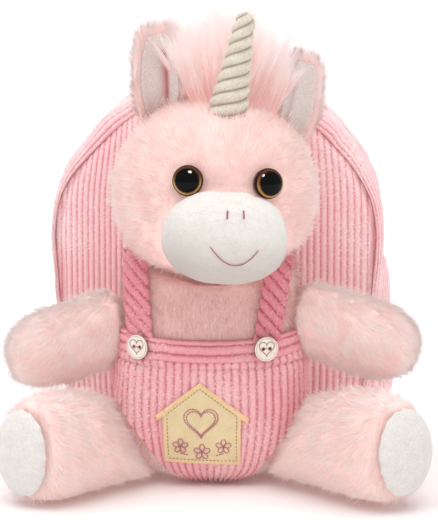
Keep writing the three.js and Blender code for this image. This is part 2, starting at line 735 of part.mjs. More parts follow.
// Body, upright, from the seat to the neck inside the head
const BODY_TABLE = [
  { at: 0, width: 0.56, depth: 0.62, shift: 0 },
  { at: 0.05, width: 0.8, depth: 0.84, shift: 0 },
  { at: 0.15, width: 0.94, depth: 0.97, shift: 0 },
  { at: 0.32, width: 1, depth: 1, shift: 0 },
  { at: 0.52, width: 0.97, depth: 0.96, shift: 0.01 },
  { at: 0.68, width: 0.96, depth: 0.9, shift: 0.02 },
  { at: 0.84, width: 0.94, depth: 0.84, shift: 0.06 },
  { at: 0.95, width: 0.8, depth: 0.68, shift: 0.12 },
  { at: 1, width: 0.3, depth: 0.3, shift: 0.16 },
];
const BODY_SQUARE = 2.5;
const bodyLength = BODY_HEIGHT - BODY_BOTTOM;

function bodySolid(grow = 0) {
  const form = stuffed({
    length: bodyLength, halfWidth: BODY_HALF_WIDTH, halfDepth: BODY_HALF_DEPTH,
    table: BODY_TABLE, sides: 22, steps: 10, square: BODY_SQUARE,
  }, grow);
  return solidOf(form.translate(BODY_X, BODY_Y, BODY_BOTTOM));
}

// The body's half sizes and middle at a height
function bodyAt(z) {
  const share = (z - BODY_BOTTOM) / bodyLength;
  return {
    a: readColumn(BODY_TABLE, "width", share) * BODY_HALF_WIDTH,
    b: readColumn(BODY_TABLE, "depth", share) * BODY_HALF_DEPTH,
    y: BODY_Y + readColumn(BODY_TABLE, "shift", share) * BODY_HALF_DEPTH,
  };
}

// Limbs, each along +Z of its own frame, from inside the body outwards
const ARM_TABLE = [
  { at: 0, width: 0.8, depth: 0.8, shift: 0 },
  { at: 0.15, width: 0.94, depth: 0.94, shift: 0 },
  { at: 0.5, width: 0.96, depth: 1, shift: 0 },
  { at: 0.75, width: 0.92, depth: 0.98, shift: 0 },
  { at: 0.9, width: 0.68, depth: 0.74, shift: 0 },
  { at: 0.97, width: 0.42, depth: 0.46, shift: 0 },
  { at: 1, width: 0, depth: 0, shift: 0 },
];
const LEG_TABLE = [
  { at: 0, width: 0.7, depth: 0.7, shift: -0.2 },
  { at: 0.1, width: 0.82, depth: 0.76, shift: -0.18 },
  { at: 0.3, width: 0.84, depth: 0.82, shift: -0.12 },
  { at: 0.48, width: 0.84, depth: 0.92, shift: -0.04 },
  { at: 0.64, width: 0.86, depth: 1, shift: 0 },
  { at: 0.83, width: 0.88, depth: 1.02, shift: 0 },
  { at: 0.95, width: 0.8, depth: 0.94, shift: 0 },
  { at: 1, width: 0.63, depth: 0.8, shift: 0 },
];

// A frame whose +Z runs along the limb and whose +Y is up
function limbPlace({ x, y, z, turn, rise }) {
  const [a, b] = [degToRad(turn), degToRad(rise)];
  const along = vec(cos(a) * cos(b), -sin(a) * cos(b), sin(b));
  const across = vec(0, 0, 0).crossVectors(vec(0, 0, 1), along).normalize();
  const upward = vec(0, 0, 0).crossVectors(along, across);
  return new THREE.Matrix4().makeBasis(across, upward, along).setPosition(x, y, z);
}

function limbSolid(limb, radius, table, sides, steps, grow) {
  const form = stuffed({
    length: limb.length, halfWidth: radius, halfDepth: radius, table, sides, steps, square: 2.1,
  }, grow);
  return solidOf(form);
}

const armSolid = (arm, grow = 0) => limbSolid(arm, ARM_RADIUS, ARM_TABLE, 14, 8, grow);
const legSolid = (leg, grow = 0) => limbSolid(leg, LEG_RADIUS, LEG_TABLE, 16, 9, grow);

// A domed oval pad over the end of a leg, in the leg's frame
const SOLE_PROFILE = [
  { across: 0.5, rise: 0 },
  { across: 0.98, rise: 0 },
  { across: 1, rise: 0.3 },
  { across: 0.9, rise: 0.7 },
  { across: 0.6, rise: 0.94 },
  { across: 0.25, rise: 1 },
];

function sole(leg) {
  const sides = 16;
  const end = LEG_TABLE[LEG_TABLE.length - 1];
  const [a, b] = [end.width * LEG_RADIUS, end.depth * LEG_RADIUS];
  const rings = SOLE_PROFILE.map((row) =>
    Array.from({ length: sides }, (_, i) => {
      const angle = (2 * PI * i) / sides;
      const z = leg.length + CLEARANCE + row.rise * SOLE_THICKNESS;
      return vec(row.across * a * cos(angle), row.across * b * sin(angle), z);
    }),
  );
  return solidOf(skin(rings));
}

// The dungarees' height at the waist: it dips in the middle of the front
function waistAt(y) {
  const ahead = clamp((BODY_Y - y) / BODY_HALF_DEPTH, 0, 1);
  return WAIST_HEIGHT + WAIST_DIP * (1 - ahead ** 2);
}

// The hem round the leg openings, by share of its half width and height
const HEM_TABLE = [
  { across: 0.42, up: -0.1 },
  { across: 0.44, up: 0.04 },
  { across: 0.65, up: 0.3 },
  { across: 0.86, up: 0.68 },
  { across: 1, up: 1 },
  { across: 1.1, up: 1.1 },
];

// All that lies between the leg openings and above them, as wide again by a margin
function hemSlice(margin = 0) {
  const side = (way) =>
    HEM_TABLE.map((row) => [
      BODY_X + way * (row.across * HEM_HALF_WIDTH + margin), row.up * HEM_HEIGHT - margin,
    ]);
  const top = [1.1 * HEM_HALF_WIDTH, 2 * BODY_HEIGHT];
  const corners = [
    ...side(1), [BODY_X + top[0], top[1]], [BODY_X - top[0], top[1]], ...side(-1).reverse(),
  ];
  return pushed(corners, -BAG_WIDTH, 2 * BAG_WIDTH, alongY);
}

// All that lies above the waist line, which drops by down
function aboveWaist(down) {
  const steps = 6;
  const [front, back] = [BODY_Y - BODY_HALF_DEPTH * 1.2, BODY_Y + BODY_HALF_DEPTH * 1.2];
  const line = Array.from({ length: steps + 1 }, (_, i) => {
    const y = front + ((back - front) * i) / steps;
    return [y, waistAt(y) - down];
  });
  const corners = [...line, [back, 2 * BODY_HEIGHT], [front, 2 * BODY_HEIGHT]];
  return pushed(corners, -BAG_WIDTH, BAG_WIDTH, alongX);
}

// Three ribs round the waist
const WAISTBAND_PROFILE = [
  { out: 0.8, up: 0 },
  { out: 1, up: 0.18 },
  { out: 0.72, up: 0.36 },
  { out: 1, up: 0.54 },
  { out: 0.72, up: 0.72 },
  { out: 1, up: 0.88 },
  { out: 0.8, up: 1 },
];

function waistbandSolid(grow = 0) {
  const sides = 28;
  const rings = Array.from({ length: sides }, (_, i) => {
    const angle = (2 * PI * i) / sides;
    const pull = squareness(angle, BODY_SQUARE);
    const ring = (off, up) => {
      const level = WAIST_HEIGHT + up * WAISTBAND_HEIGHT;
      const at = bodyAt(level);
      const y = at.y + (at.b + off) * pull * sin(angle);
      const z = waistAt(y) + up * WAISTBAND_HEIGHT + grow * (2 * up - 1);
      return vec(BODY_X + (at.a + off) * pull * cos(angle), y, z);
    };
    const outside = WAISTBAND_PROFILE.map((row) =>
      ring(CLEARANCE + row.out * WAISTBAND_THICKNESS + grow, row.up),
    );
    return [ring(-WAISTBAND_THICKNESS, 0), ...outside, ring(-WAISTBAND_THICKNESS, 1)];
  });
  return solidOf(skin(rings, true));
}

// A brace up the chest: a slice of a shell round the body between two slanting lines
function braceSolid(brace) {
  const shell = bodySolid(CLEARANCE + BRACE_THICKNESS).subtract(bodySolid(CLEARANCE));
  const half = BRACE_WIDTH / 2;
  const [low, top] = [BODY_X + brace.low, BODY_X + brace.top];
  const corners = [
    [low - half, WAIST_HEIGHT], [low + half, WAIST_HEIGHT],
    [top + half, BODY_HEIGHT], [top - half, BODY_HEIGHT],
  ];
  return shell.intersect(pushed(corners, -BODY_Y, 2 * BAG_WIDTH, alongY));
}

// Wooden button with two holes, facing along +Z, its back at 0
function button() {
  const [r, t, c] = [BUTTON_RADIUS, BUTTON_THICKNESS, BUTTON_CHAMFER];
  const outline = [[0, 0], [r - c, 0], [r, c], [r, t - c], [r - c, t], [0, t]];
  const disc = new THREE.LatheGeometry(outline.map(([x, y]) => new THREE.Vector2(x, y)), 16);
  const holes = [-1, 1].map((side) => {
    const hole = new THREE.CylinderGeometry(BUTTON_HOLE_RADIUS, BUTTON_HOLE_RADIUS, 3 * t, 6);
    return solidOf(hole.translate((side * BUTTON_HOLE_SPACING) / 2, 0, 0));
  });
  return geometryOf(without(solidOf(disc), ...holes)).rotateX(PI / 2);
}

// Where a button sits: on the waistband and its brace, facing away from the body
function buttonPlace(brace) {
  const at = bodyAt(BUTTON_HEIGHT);
  const x = brace.low;
  const share = abs(x / at.a) ** BODY_SQUARE;
  const y = -at.b * (1 - share) ** (1 / BODY_SQUARE);
  const nx = (sign(x) * abs(x / at.a) ** (BODY_SQUARE - 1)) / at.a;
  const out = vec(nx, -(abs(y / at.b) ** (BODY_SQUARE - 1)) / at.b, 0).normalize();
  const across = vec(0, 0, 0).crossVectors(vec(0, 0, 1), out);
  const standOff = 2 * CLEARANCE + WAISTBAND_THICKNESS + 0.6;
  const centre = vec(BODY_X + x, at.y + y, BUTTON_HEIGHT).addScaledVector(out, standOff);
  return new THREE.Matrix4().makeBasis(across, vec(0, 0, 1), out).setPosition(centre);
}

// House-shaped felt patch that follows the cloth
function patchSolid() {
  const low = 2 * CLEARANCE + CLOTH;
  const sheet = bodySolid(low + PATCH_THICKNESS).subtract(bodySolid(low));
  const [w, r] = [PATCH_WIDTH / 2, PATCH_ROOF_WIDTH / 2];
  const eave = PATCH_BOTTOM + PATCH_EAVE_HEIGHT;
  const corners = [
    [-w, PATCH_BOTTOM], [w, PATCH_BOTTOM], [w, eave], [r, eave - PATCH_ROOF_EDGE],
    [r, eave + PATCH_ROOF_EDGE / 2], [0, PATCH_BOTTOM + PATCH_HEIGHT],
    [-r, eave + PATCH_ROOF_EDGE / 2], [-r, eave - PATCH_ROOF_EDGE], [-w, eave],
  ];
  const slice = corners.map(([x, z]) => [x + BODY_X + PATCH_X, z]);
  return largest(sheet.intersect(pushed(slice, -BODY_Y, 2 * BAG_WIDTH, alongY)));
}

function bagPieces() {
  const bag = new THREE.Group();
  const add = (...piece) => bag.add(mesh(...piece));
  add("bag_front_panel", bagPanel(frontPanel), COLOURS.corduroy);
  add("bag_gusset", gusset(), COLOURS.corduroy);
  add("bag_back_panel", bagPanel(backPanel), COLOURS.corduroy);
  add("zip_tape", zipTape(), COLOURS.webbing);
  const onArch = new THREE.Matrix4().makeTranslation(0, 0, BAG_HEIGHT + CLEARANCE);
  add("zip_slider", zipSlider(), COLOURS.plastic, onArch, 0.5);
  add("carrying_loop", carryingLoop(), COLOURS.webbing);
  for (const [side, name, bulge] of [
    [-1, "left", POCKET_BULGE_LEFT],
    [1, "right", POCKET_BULGE_RIGHT],
  ]) {
    add(`side_pocket_${name}`, sidePocket(side, bulge), COLOURS.corduroy);
    const pad = strapBand(side, PAD_ROUTE, PAD_WIDTH, PAD_THICKNESS, 10);
    add(`shoulder_pad_${name}`, geometryOf(pad), COLOURS.corduroy);
    const web = strapBand(side, WEB_ROUTE, WEB_WIDTH, WEB_THICKNESS, 8);
    add(`strap_webbing_${name}`, geometryOf(web), COLOURS.webbing);
    const { solid, place } = adjuster(side);
    add(`strap_adjuster_${name}`, geometryOf(solid), COLOURS.plastic, place, 0.5);
  }
  return bag;
}

function headPieces() {
  const head = new THREE.Group();
  head.applyMatrix4(headPlace);
  const add = (name, solid, colour, roughness) =>
    head.add(mesh(name, geometryOf(largest(solid)), colour, null, roughness));
  const nearHead = headSolid(CLEARANCE);
  const nearMuzzle = muzzleSolid(CLEARANCE);
  const nearHorn = hornSolid(CLEARANCE);
  add("head", without(headSolid(), intoFrame(headPlace, behindFront)), COLOURS.plush);
  add("muzzle", without(muzzleSolid(), nearHead), COLOURS.velvet);
  add("horn", without(hornSolid(), nearHead), COLOURS.horn);
  let tuft = without(maneSolid(), nearHead, nearHorn);
  for (const [side, name, ear] of [[-1, "left", EAR_LEFT], [1, "right", EAR_RIGHT]]) {
    add(`eye_${name}`, without(eyeSolid(side), nearHead, nearMuzzle), COLOURS.eye, 0.1);
    add(`ear_${name}`, without(earSolid(ear), nearHead, nearHorn), COLOURS.plush);
    add(`ear_lining_${name}`, without(earLiningSolid(ear), nearHead, nearHorn), COLOURS.velvet);
    tuft = without(tuft, earSolid(ear, CLEARANCE), earLiningSolid(ear, CLEARANCE));
  }
  add("mane", tuft, COLOURS.mane);
  return head;
}

function bodyPieces() {
  const toy = new THREE.Group();
  const add = (name, solid, colour, place) => {
    const own = place ? intoFrame(place, solid) : solid;
    toy.add(mesh(name, geometryOf(largest(own)), colour, place));
  };
  const nearHead = outOfFrame(headPlace, joined(headSolid(CLEARANCE), muzzleSolid(CLEARANCE)));
  const nearBody = bodySolid(CLEARANCE);
  const sides = [
    { name: "left", arm: ARM_LEFT, leg: LEG_LEFT, brace: BRACE_LEFT },
    { name: "right", arm: ARM_RIGHT, leg: LEG_RIGHT, brace: BRACE_RIGHT },
  ];
  const nearArms = sides.map(({ arm }) => outOfFrame(limbPlace(arm), armSolid(arm, CLEARANCE)));
  const cloth = bodySolid(CLEARANCE + CLOTH).intersect(hemSlice());
  const nearCloth = joined(hemSlice(CLEARANCE), aboveWaist(CLEARANCE));

  add("body", without(bodySolid(), nearHead, behindFront), COLOURS.plush);
  const trousers = without(
    cloth, nearBody, aboveWaist(CLEARANCE), waistbandSolid(CLEARANCE), behindFront, underFloor,
    ...nearArms,
  );
  add("dungarees", trousers, COLOURS.corduroy);
  const ribs = without(waistbandSolid(), nearBody, behindFront, ...nearArms);
  add("waistband", ribs, COLOURS.corduroy);
  add("patch", patchSolid(), COLOURS.felt);
  for (const { name, arm, leg, brace } of sides) {
    const [armAt, legAt] = [limbPlace(arm), limbPlace(leg)];
    const reach = outOfFrame(armAt, armSolid(arm));
    add(`arm_${name}`, without(reach, nearBody, nearHead, behindFront), COLOURS.plush, armAt);
    const thigh = outOfFrame(legAt, legSolid(leg));
    add(
      `leg_${name}`,
      without(thigh, nearBody, nearCloth, behindFront, underFloor),
      COLOURS.plush,
      legAt,
    );
    add(`sole_${name}`, outOfFrame(legAt, sole(leg)), COLOURS.velvet, legAt);
    const strip = without(braceSolid(brace), nearHead, waistbandSolid(CLEARANCE), ...nearArms);
    add(`brace_${name}`, strip, COLOURS.corduroy);
    toy.add(mesh(`button_${name}`, button(), COLOURS.wood, buttonPlace(brace), 0.6));
  }
  return toy;
}

const part = new THREE.Group();
part.name = "animal_backpack";
part.add(bagPieces(), headPieces(), bodyPieces());

// The middle of the footprint becomes the origin
part.updateMatrixWorld(true);
const bounds = new THREE.Box3().setFromObject(part, true);
const middle = bounds.getCenter(vec(0, 0, 0));
part.position.set(-middle.x, -middle.y, -bounds.min.z);

export default part;
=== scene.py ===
"""The looks of a child's corduroy backpack with a plush unicorn sitting on its front.

The solids are the frame. Cloth, fur, felt and thread are made here over them, in millimetres
from the middle of the bag's front seam line, and placed in metres. Left is -X.
"""

import math

import bmesh
import bpy
import numpy as np
from mathutils import Matrix, Vector


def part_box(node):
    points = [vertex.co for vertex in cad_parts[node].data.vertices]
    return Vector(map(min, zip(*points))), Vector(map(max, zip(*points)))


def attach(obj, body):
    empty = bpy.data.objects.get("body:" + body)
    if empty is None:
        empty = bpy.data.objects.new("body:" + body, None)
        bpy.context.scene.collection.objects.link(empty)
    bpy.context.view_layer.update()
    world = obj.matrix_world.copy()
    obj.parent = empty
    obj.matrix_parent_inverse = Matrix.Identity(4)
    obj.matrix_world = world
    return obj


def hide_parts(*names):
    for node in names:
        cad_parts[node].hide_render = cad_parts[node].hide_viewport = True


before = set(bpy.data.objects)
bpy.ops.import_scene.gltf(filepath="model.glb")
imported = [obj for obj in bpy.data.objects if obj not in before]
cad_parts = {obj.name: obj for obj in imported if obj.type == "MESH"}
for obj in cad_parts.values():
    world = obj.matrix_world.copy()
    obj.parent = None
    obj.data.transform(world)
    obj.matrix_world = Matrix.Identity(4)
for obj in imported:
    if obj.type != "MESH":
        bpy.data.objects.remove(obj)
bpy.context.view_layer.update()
bpy.ops.object.select_all(action="DESELECT")

MM = 0.001

# Bag
BAG_TOP = 282.0
SEAM_HALF_WIDTH = 114.5
BAG_DEPTH = 88.0
BAG_TAPER = 11.0
BAG_CORNER = 26.0
GUSSET_BULGE = 7.5
ARCH_CENTRE = BAG_TOP - GUSSET_BULGE - SEAM_HALF_WIDTH
FRONT_SEAM_Y = 12.0
BACK_SEAM_Y = FRONT_SEAM_Y + BAG_DEPTH
PANEL_DOME = 8.0
BACK_FACE_Y = 104.8
WALE = 4.3

# Unicorn
HEAD_AT = (1.8, -64.0, 205.0)
HEAD_HALF = (73.5, 66.0, 66.0)
HEAD_YAW = math.radians(12)
HEAD_ROLL = math.radians(3)
BODY_X = -1.5
BODY_Y = -48.0
BODY_BOTTOM = 2.6
BODY_LENGTH = 165.4
BODY_HALF_WIDTH = 68.0
BODY_HALF_DEPTH = 51.0
BODY_SQUARE = 2.5
WAIST_HEIGHT = 90.5
WAIST_DIP = 5.0
TROUSER_WALE = 5.7

# The toy's frame stands off the row's by the place of the back panel
back_low, back_high = [np.array(corner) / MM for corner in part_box("bag_back_panel")]
SHIFT = np.array([(back_low[0] + back_high[0]) / 2, back_high[1] - (BACK_FACE_Y - 0.4), 0.0])


def smooth(value, low, high):
    """A share from 0 to 1 that rises smoothly between two values."""
    t = np.clip((np.asarray(value, float) - low) / (high - low), 0, 1)
    return t * t * (3 - 2 * t)


def column(rows, at):
    """A smooth curve through rows of (share, value), read at many shares."""
    places, values = np.array(rows, float).T
    at = np.clip(np.asarray(at, float), places[0], places[-1])
    k = np.clip(np.searchsorted(places, at, side="right") - 1, 0, len(rows) - 2)
    before, after = np.maximum(k - 1, 0), np.minimum(k + 2, len(rows) - 1)
    span = places[k + 1] - places[k]
    t = (at - places[k]) / span
    slope_in = (values[k + 1] - values[before]) / (places[k + 1] - places[before]) * span
    slope_out = (values[after] - values[k]) / (places[after] - places[k]) * span
    return (
        (2 * t**3 - 3 * t**2 + 1) * values[k] + (t**3 - 2 * t**2 + t) * slope_in
        + (3 * t**2 - 2 * t**3) * values[k + 1] + (t**3 - t**2) * slope_out
    )


def ripple(points, size, seed, octaves=3):
    """A soft random field over points, about -1 to 1, with humps of the given size in mm."""
    rng = np.random.default_rng(seed)
    total = np.zeros(len(points))
    for octave in range(octaves):
        waves = rng.normal(size=(7, 3)) * (2.2 * 1.9**octave / size)
        phases = rng.uniform(0, 2 * np.pi, 7)
        total += np.sin(points @ waves.T + phases).sum(axis=1) * (0.42 / 1.7**octave)
    return total


def unit(vectors):
    return vectors / np.maximum(np.linalg.norm(vectors, axis=-1, keepdims=True), 1e-9)


def placed(matrix, points):
    """Points moved by a 4 x 4 matrix."""
    m = np.array(matrix)
    return points @ m[:3, :3].T + m[:3, 3]


HEAD_TURN = Matrix.Rotation(HEAD_YAW, 4, "Z") @ Matrix.Rotation(HEAD_ROLL, 4, "Y")
HEAD_PLACE = Matrix.Translation(HEAD_AT) @ HEAD_TURN


def in_head(points):
    """Points in the head's own frame."""
    return placed(HEAD_PLACE.inverted(), points)


def field(points, size, seed):
    """A ripple over a grid of points, on that grid."""
    return ripple(points.reshape(-1, 3), size, seed).reshape(points.shape[:-1])


def bump_at(value, middle, width, power=2):
    """A soft bump from 0 to 1 round a middle value."""
    return np.exp(-(np.abs((value - middle) / width) ** power))


# Meshes


def piece(name, points, faces, finish, replaces=(), smooth_faces=True, across=None, tone=None):
    """A mesh from points in mm, its finish, and what it stands for."""
    mesh = bpy.data.meshes.new(name)
    sides = len(faces[0])
    points = (np.asarray(points, float).reshape(-1, 3) + SHIFT) * MM
    faces = np.asarray(faces, dtype=np.int32).reshape(-1, sides)
    mesh.vertices.add(len(points))
    mesh.vertices.foreach_set("co", points.astype(np.float32).ravel())
    mesh.loops.add(faces.size)
    mesh.loops.foreach_set("vertex_index", faces.ravel())
    mesh.polygons.add(len(faces))
    mesh.polygons.foreach_set("loop_start", np.arange(0, faces.size, sides, dtype=np.int32))
    mesh.update(calc_edges=True)
    made = bpy.data.objects.new(name, mesh)
    for word, values in (("across", across), ("tone", tone)):
        if values is not None:
            mark(made, word, values)
    mesh.polygons.foreach_set("use_smooth", np.full(len(faces), smooth_faces))
    bpy.context.collection.objects.link(made)
    dress(made, finish, replaces)
    return made


def dress(made, finish, replaces=()):
    """Gives a piece its finish and says which solids it stands for."""
    made.data.materials.clear()
    made.data.materials.append(finish)
    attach(made, "root")
    if replaces:
        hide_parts(*replaces)


def mark(made, word, values):
    """Gives each point of a piece a value that its finish reads."""
    layer = made.data.attributes.new(word, "FLOAT", "POINT")
    layer.data.foreach_set("value", np.asarray(values, np.float32).ravel())


def grid_faces(rows, columns, closed=False):
    """Quads over a grid of points, whose columns may close into a ring."""
    steps = np.arange(columns if closed else columns - 1)
    r, c = np.meshgrid(np.arange(rows - 1), steps, indexing="ij")
    right = (c + 1) % columns
    low, high = r * columns, (r + 1) * columns
    return np.stack([low + c, low + right, high + right, high + c], -1).reshape(-1, 4)


def only(made, *others):
    """Makes a piece, with any others, the one that operators act on."""
    bpy.ops.object.select_all(action="DESELECT")
    for other in (made, *others):
        other.select_set(True)
    bpy.context.view_layer.objects.active = made


def modify(made, kind, **settings):
    """Adds a modifier and applies it."""
    only(made)
    modifier = made.modifiers.new(kind.title(), kind)
    for word, value in settings.items():
        setattr(modifier, word, value)
    bpy.ops.object.modifier_apply(modifier=modifier.name)


def thicken(made, thickness):
    """A wall for a sheet, grown inwards from its outer face."""
    modify(made, "SOLIDIFY", thickness=thickness * MM, offset=-1, use_even_offset=False)


def face_out(made):
    """Turns all faces outwards."""
    only(made)
    bpy.ops.object.mode_set(mode="EDIT")
    bpy.ops.mesh.select_all(action="SELECT")
    bpy.ops.mesh.remove_doubles(threshold=1e-6)
    bpy.ops.mesh.normals_make_consistent(inside=False)
    bpy.ops.object.mode_set(mode="OBJECT")


def fill_ends(made, sides):
    """Closes holes of up to that many sides."""
    only(made)
    bpy.ops.object.mode_set(mode="EDIT")
    bpy.ops.mesh.select_all(action="SELECT")
    bpy.ops.mesh.fill_holes(sides=sides)
    bpy.ops.object.mode_set(mode="OBJECT")


def face_towards(made, way):
    """Turns a sheet so that its faces look one way."""
    if np.mean([np.array(p.normal) @ np.array(way) for p in made.data.polygons]) < 0:
        made.data.flip_normals()


def copy_of(node, name):
    """A solid's mesh in a piece of its own, merged."""
    made = bpy.data.objects.new(name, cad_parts[node].data.copy())
    bpy.context.collection.objects.link(made)
    face_out(made)
    return made


def recolour(node, finish):
    """Gives a solid a finish of its own."""
    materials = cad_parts[node].data.materials
    materials.clear()
    materials.append(finish)


PUFF_FRAMES = 14


def stuffed(
    node, name, finish, inset, voxel=4.2, pressure=5.0, cap=2.0, rounds=8, creases=None,
    subdivide=False,
):
    """A stuffed cloth form from a solid: remeshed, eased, drawn in by its pile's depth and
    puffed by a short cloth simulation, with no point moved further than cap."""
    made = copy_of(node, name)
    modify(made, "REMESH", mode="VOXEL", voxel_size=voxel * MM)
    modify(made, "SMOOTH", factor=0.5, iterations=rounds)
    coords, normals = points_of(made)
    coords -= normals * inset
    if creases is not None:
        coords = creases(coords, normals)
    move_points(made, coords)
    start, _ = points_of(made)
    only(made)
    cloth = made.modifiers.new("Puff", "CLOTH")
    cloth.settings.use_pressure = True
    cloth.settings.uniform_pressure_force = pressure
    cloth.settings.quality = 4
    cloth.settings.tension_stiffness = 30
    cloth.settings.compression_stiffness = 30
    cloth.settings.bending_stiffness = 2
    cloth.settings.effector_weights.gravity = 0
    cloth.point_cache.frame_start = 1
    cloth.point_cache.frame_end = PUFF_FRAMES
    for step in range(1, PUFF_FRAMES + 1):
        bpy.context.scene.frame_set(step)
    bpy.ops.object.modifier_apply(modifier=cloth.name)
    bpy.context.scene.frame_set(1)
    moved, _ = points_of(made)
    step = moved - start
    length = np.maximum(np.linalg.norm(step, axis=1, keepdims=True), 1e-9)
    move_points(made, start + step * np.minimum(1, cap / length))
    if subdivide:
        modify(made, "SUBSURF", levels=1, render_levels=1)
    only(made)
    bpy.ops.object.shade_smooth()
    dress(made, finish, [node])
    return made


def points_of(made):
    """A piece's points in mm in the toy's frame, and its normals."""
    count = len(made.data.vertices)
    flat, normals = np.empty(count * 3, np.float32), np.empty(count * 3, np.float32)
    made.data.vertices.foreach_get("co", flat)
    made.data.vertex_normals.foreach_get("vector", normals)
    return flat.reshape(-1, 3).astype(float) / MM - SHIFT, normals.reshape(-1, 3).astype(float)


def move_points(made, points):
    made.data.vertices.foreach_set("co", ((points + SHIFT) * MM).astype(np.float32).ravel())
    made.data.update()


# Finishes


class Value:
    """A shader socket that Python's operators work on."""

    def __init__(self, finish, socket):
        self.finish, self.socket = finish, socket

    def __add__(self, other):
        return self.finish.maths("ADD", self, other)

    def __sub__(self, other):
        return self.finish.maths("SUBTRACT", self, other)

    def __rsub__(self, other):
        return self.finish.maths("SUBTRACT", other, self)

    def __mul__(self, other):
        return self.finish.maths("MULTIPLY", self, other)

    def __truediv__(self, other):
        return self.finish.maths("DIVIDE", self, other)

    def __pow__(self, other):
        return self.finish.maths("POWER", self, other)

    def __abs__(self):
        return self.finish.maths("ABSOLUTE", self)

    __radd__, __rmul__ = __add__, __mul__


class Finish:
    """A material: its constants on the shader's own sockets, and nodes for what varies."""

    def __init__(self, name, **constants):
        self.material = bpy.data.materials.new(name)
        self.material.use_nodes = True
        self.tree = self.material.node_tree
        self.shader = self.tree.nodes["Principled BSDF"]
        for word, value in constants.items():
            self.shader.inputs[word.replace("_", " ")].default_value = value

    def node(self, kind, settings=None, out=0, **inputs):
        """A node of a type, its settings first, then values or links for its sockets."""
        made = self.tree.nodes.new("ShaderNode" + kind)
        for word, value in (settings or {}).items():
            setattr(made, word, value)
        for word, value in inputs.items():
            socket = made.inputs[int(word[1:]) if word[0] == "_" else word.replace("_", " ")]
            if isinstance(value, Value):
                self.tree.links.new(value.socket, socket)
            else:
                socket.default_value = value
        return Value(self, made.outputs[out])

    def maths(self, operation, first, second=0.0):
        inputs = {"_0": first} if operation in ("ABSOLUTE", "SINE") else {"_0": first, "_1": second}
        return self.node("Math", {"operation": operation}, **inputs)

    def between(self, value, low, high):
        """A share from 0 to 1 as value goes from low to high."""
        return self.node(
            "MapRange", {"interpolation_type": "SMOOTHSTEP"}, Value=value, From_Min=low, From_Max=high
        )

    def mix(self, share, first, second):
        """From one colour to another."""
        colours = {"_6": first, "_7": second}
        return self.node("Mix", {"data_type": "RGBA"}, out=2, _0=share, **colours)

    def place(self, scale=(1, 1, 1)):
        """Object coordinates in mm, stretched by scale."""
        spot = self.node("TexCoord", out=3)
        return self.node("Mapping", Vector=spot, Scale=tuple(s / MM for s in scale))

    def cloud(self, size, detail=3.0, rough=0.6, scale=(1, 1, 1)):
        """Noise with humps of the given size in mm, drawn out where scale is small."""
        where = self.place(scale)
        return self.node("TexNoise", Vector=where, Scale=1.0 / size, Detail=detail, Roughness=rough)

    def attribute(self, word):
        return self.node("Attribute", {"attribute_name": word}, out=2)

    def bump(self, height, distance, strength=1.0):
        """A relief of the given height in mm."""
        return self.node("Bump", Height=height, Distance=distance * MM, Strength=strength)

    def feed(self, **sockets):
        """Links what varies to the shader, and gives the finished material."""
        for word, value in sockets.items():
            self.tree.links.new(value.socket, self.shader.inputs[word.replace("_", " ")])
        return self.material


def tone(r, g, b):
    """An sRGB colour from 0 to 255 as the shader takes it."""
    return (*[v / 255 / 12.92 if v < 10.3 else ((v / 255 + 0.055) / 1.055) ** 2.4 for v in (r, g, b)], 1.0)


def darker(colour, share):
    return (*[value * share for value in colour[:3]], 1.0)


def corduroy(name, ridge, groove, pale, relief=0.6, speckle=0.85):
    """Ribbed cotton: round wales by the piece's own across attribute, with a fuzzy nap that
    shows as pale tufts and dark flecks."""
    cloth = Finish(
        name, Roughness=0.95, Sheen_Weight=0.25, Sheen_Roughness=0.5, Sheen_Tint=tone(255, 225, 225),
        Specular_IOR_Level=0.2,
    )
    crown = abs(cloth.maths("SINE", cloth.attribute("across") * math.pi)) ** 0.7
    nap = cloth.cloud(0.9, 3.0, 0.7)
    tufts = cloth.cloud(1.7, 3.0, 0.7)
    worn = cloth.cloud(42.0, 2.0, 0.5)
    # From the groove's colour to the ridge's over each wale: the grooves' darker colour is partly the
    # cloth's own and partly painted shade between the wales.
    share = crown + (nap - 0.5) * 0.9 + (tufts - 0.5) * 0.7
    colour = cloth.mix(cloth.between(share, 0.1, 0.9), groove, ridge)
    lifted = tufts * 0.6 + nap * 0.4 + (worn - 0.5) * 0.35
    colour = cloth.mix(cloth.between(lifted, 0.47, 0.64) * speckle, colour, pale)
    flecks = cloth.cloud(1.3, 3.0, 0.75)
    colour = cloth.mix(cloth.between(flecks, 0.55, 0.7) * speckle * 0.6, colour, groove)
    # Painted shadow along seams: towards half the groove's colour as far as the piece's tone attribute says.
    colour = cloth.mix(cloth.attribute("tone") * 0.85, colour, darker(groove, 0.5))
    raised = cloth.bump(crown * 0.5 + nap * 0.5 + tufts * 0.5, relief, 0.8)
    return cloth.feed(Base_Color=colour, Normal=raised)


def pile(name, root, tip, roughness=0.85, glow=0.16, scattered=None):
    """Strands of fur: each from its root's colour to its tip's, a little lighter or darker.
    A faint glow stands for the light that pale fur scatters from strand to strand."""
    fur = Finish(
        name, Roughness=roughness, Emission_Strength=glow, Emission_Color=scattered or root,
        Sheen_Weight=0.2, Sheen_Roughness=0.35, Specular_IOR_Level=0.2,
    )
    share = fur.attribute("tone") + (fur.cloud(26.0, 3.0) - 0.5) * 0.7
    return fur.feed(Base_Color=fur.mix(fur.between(share, 0.0, 1.0), root, tip))


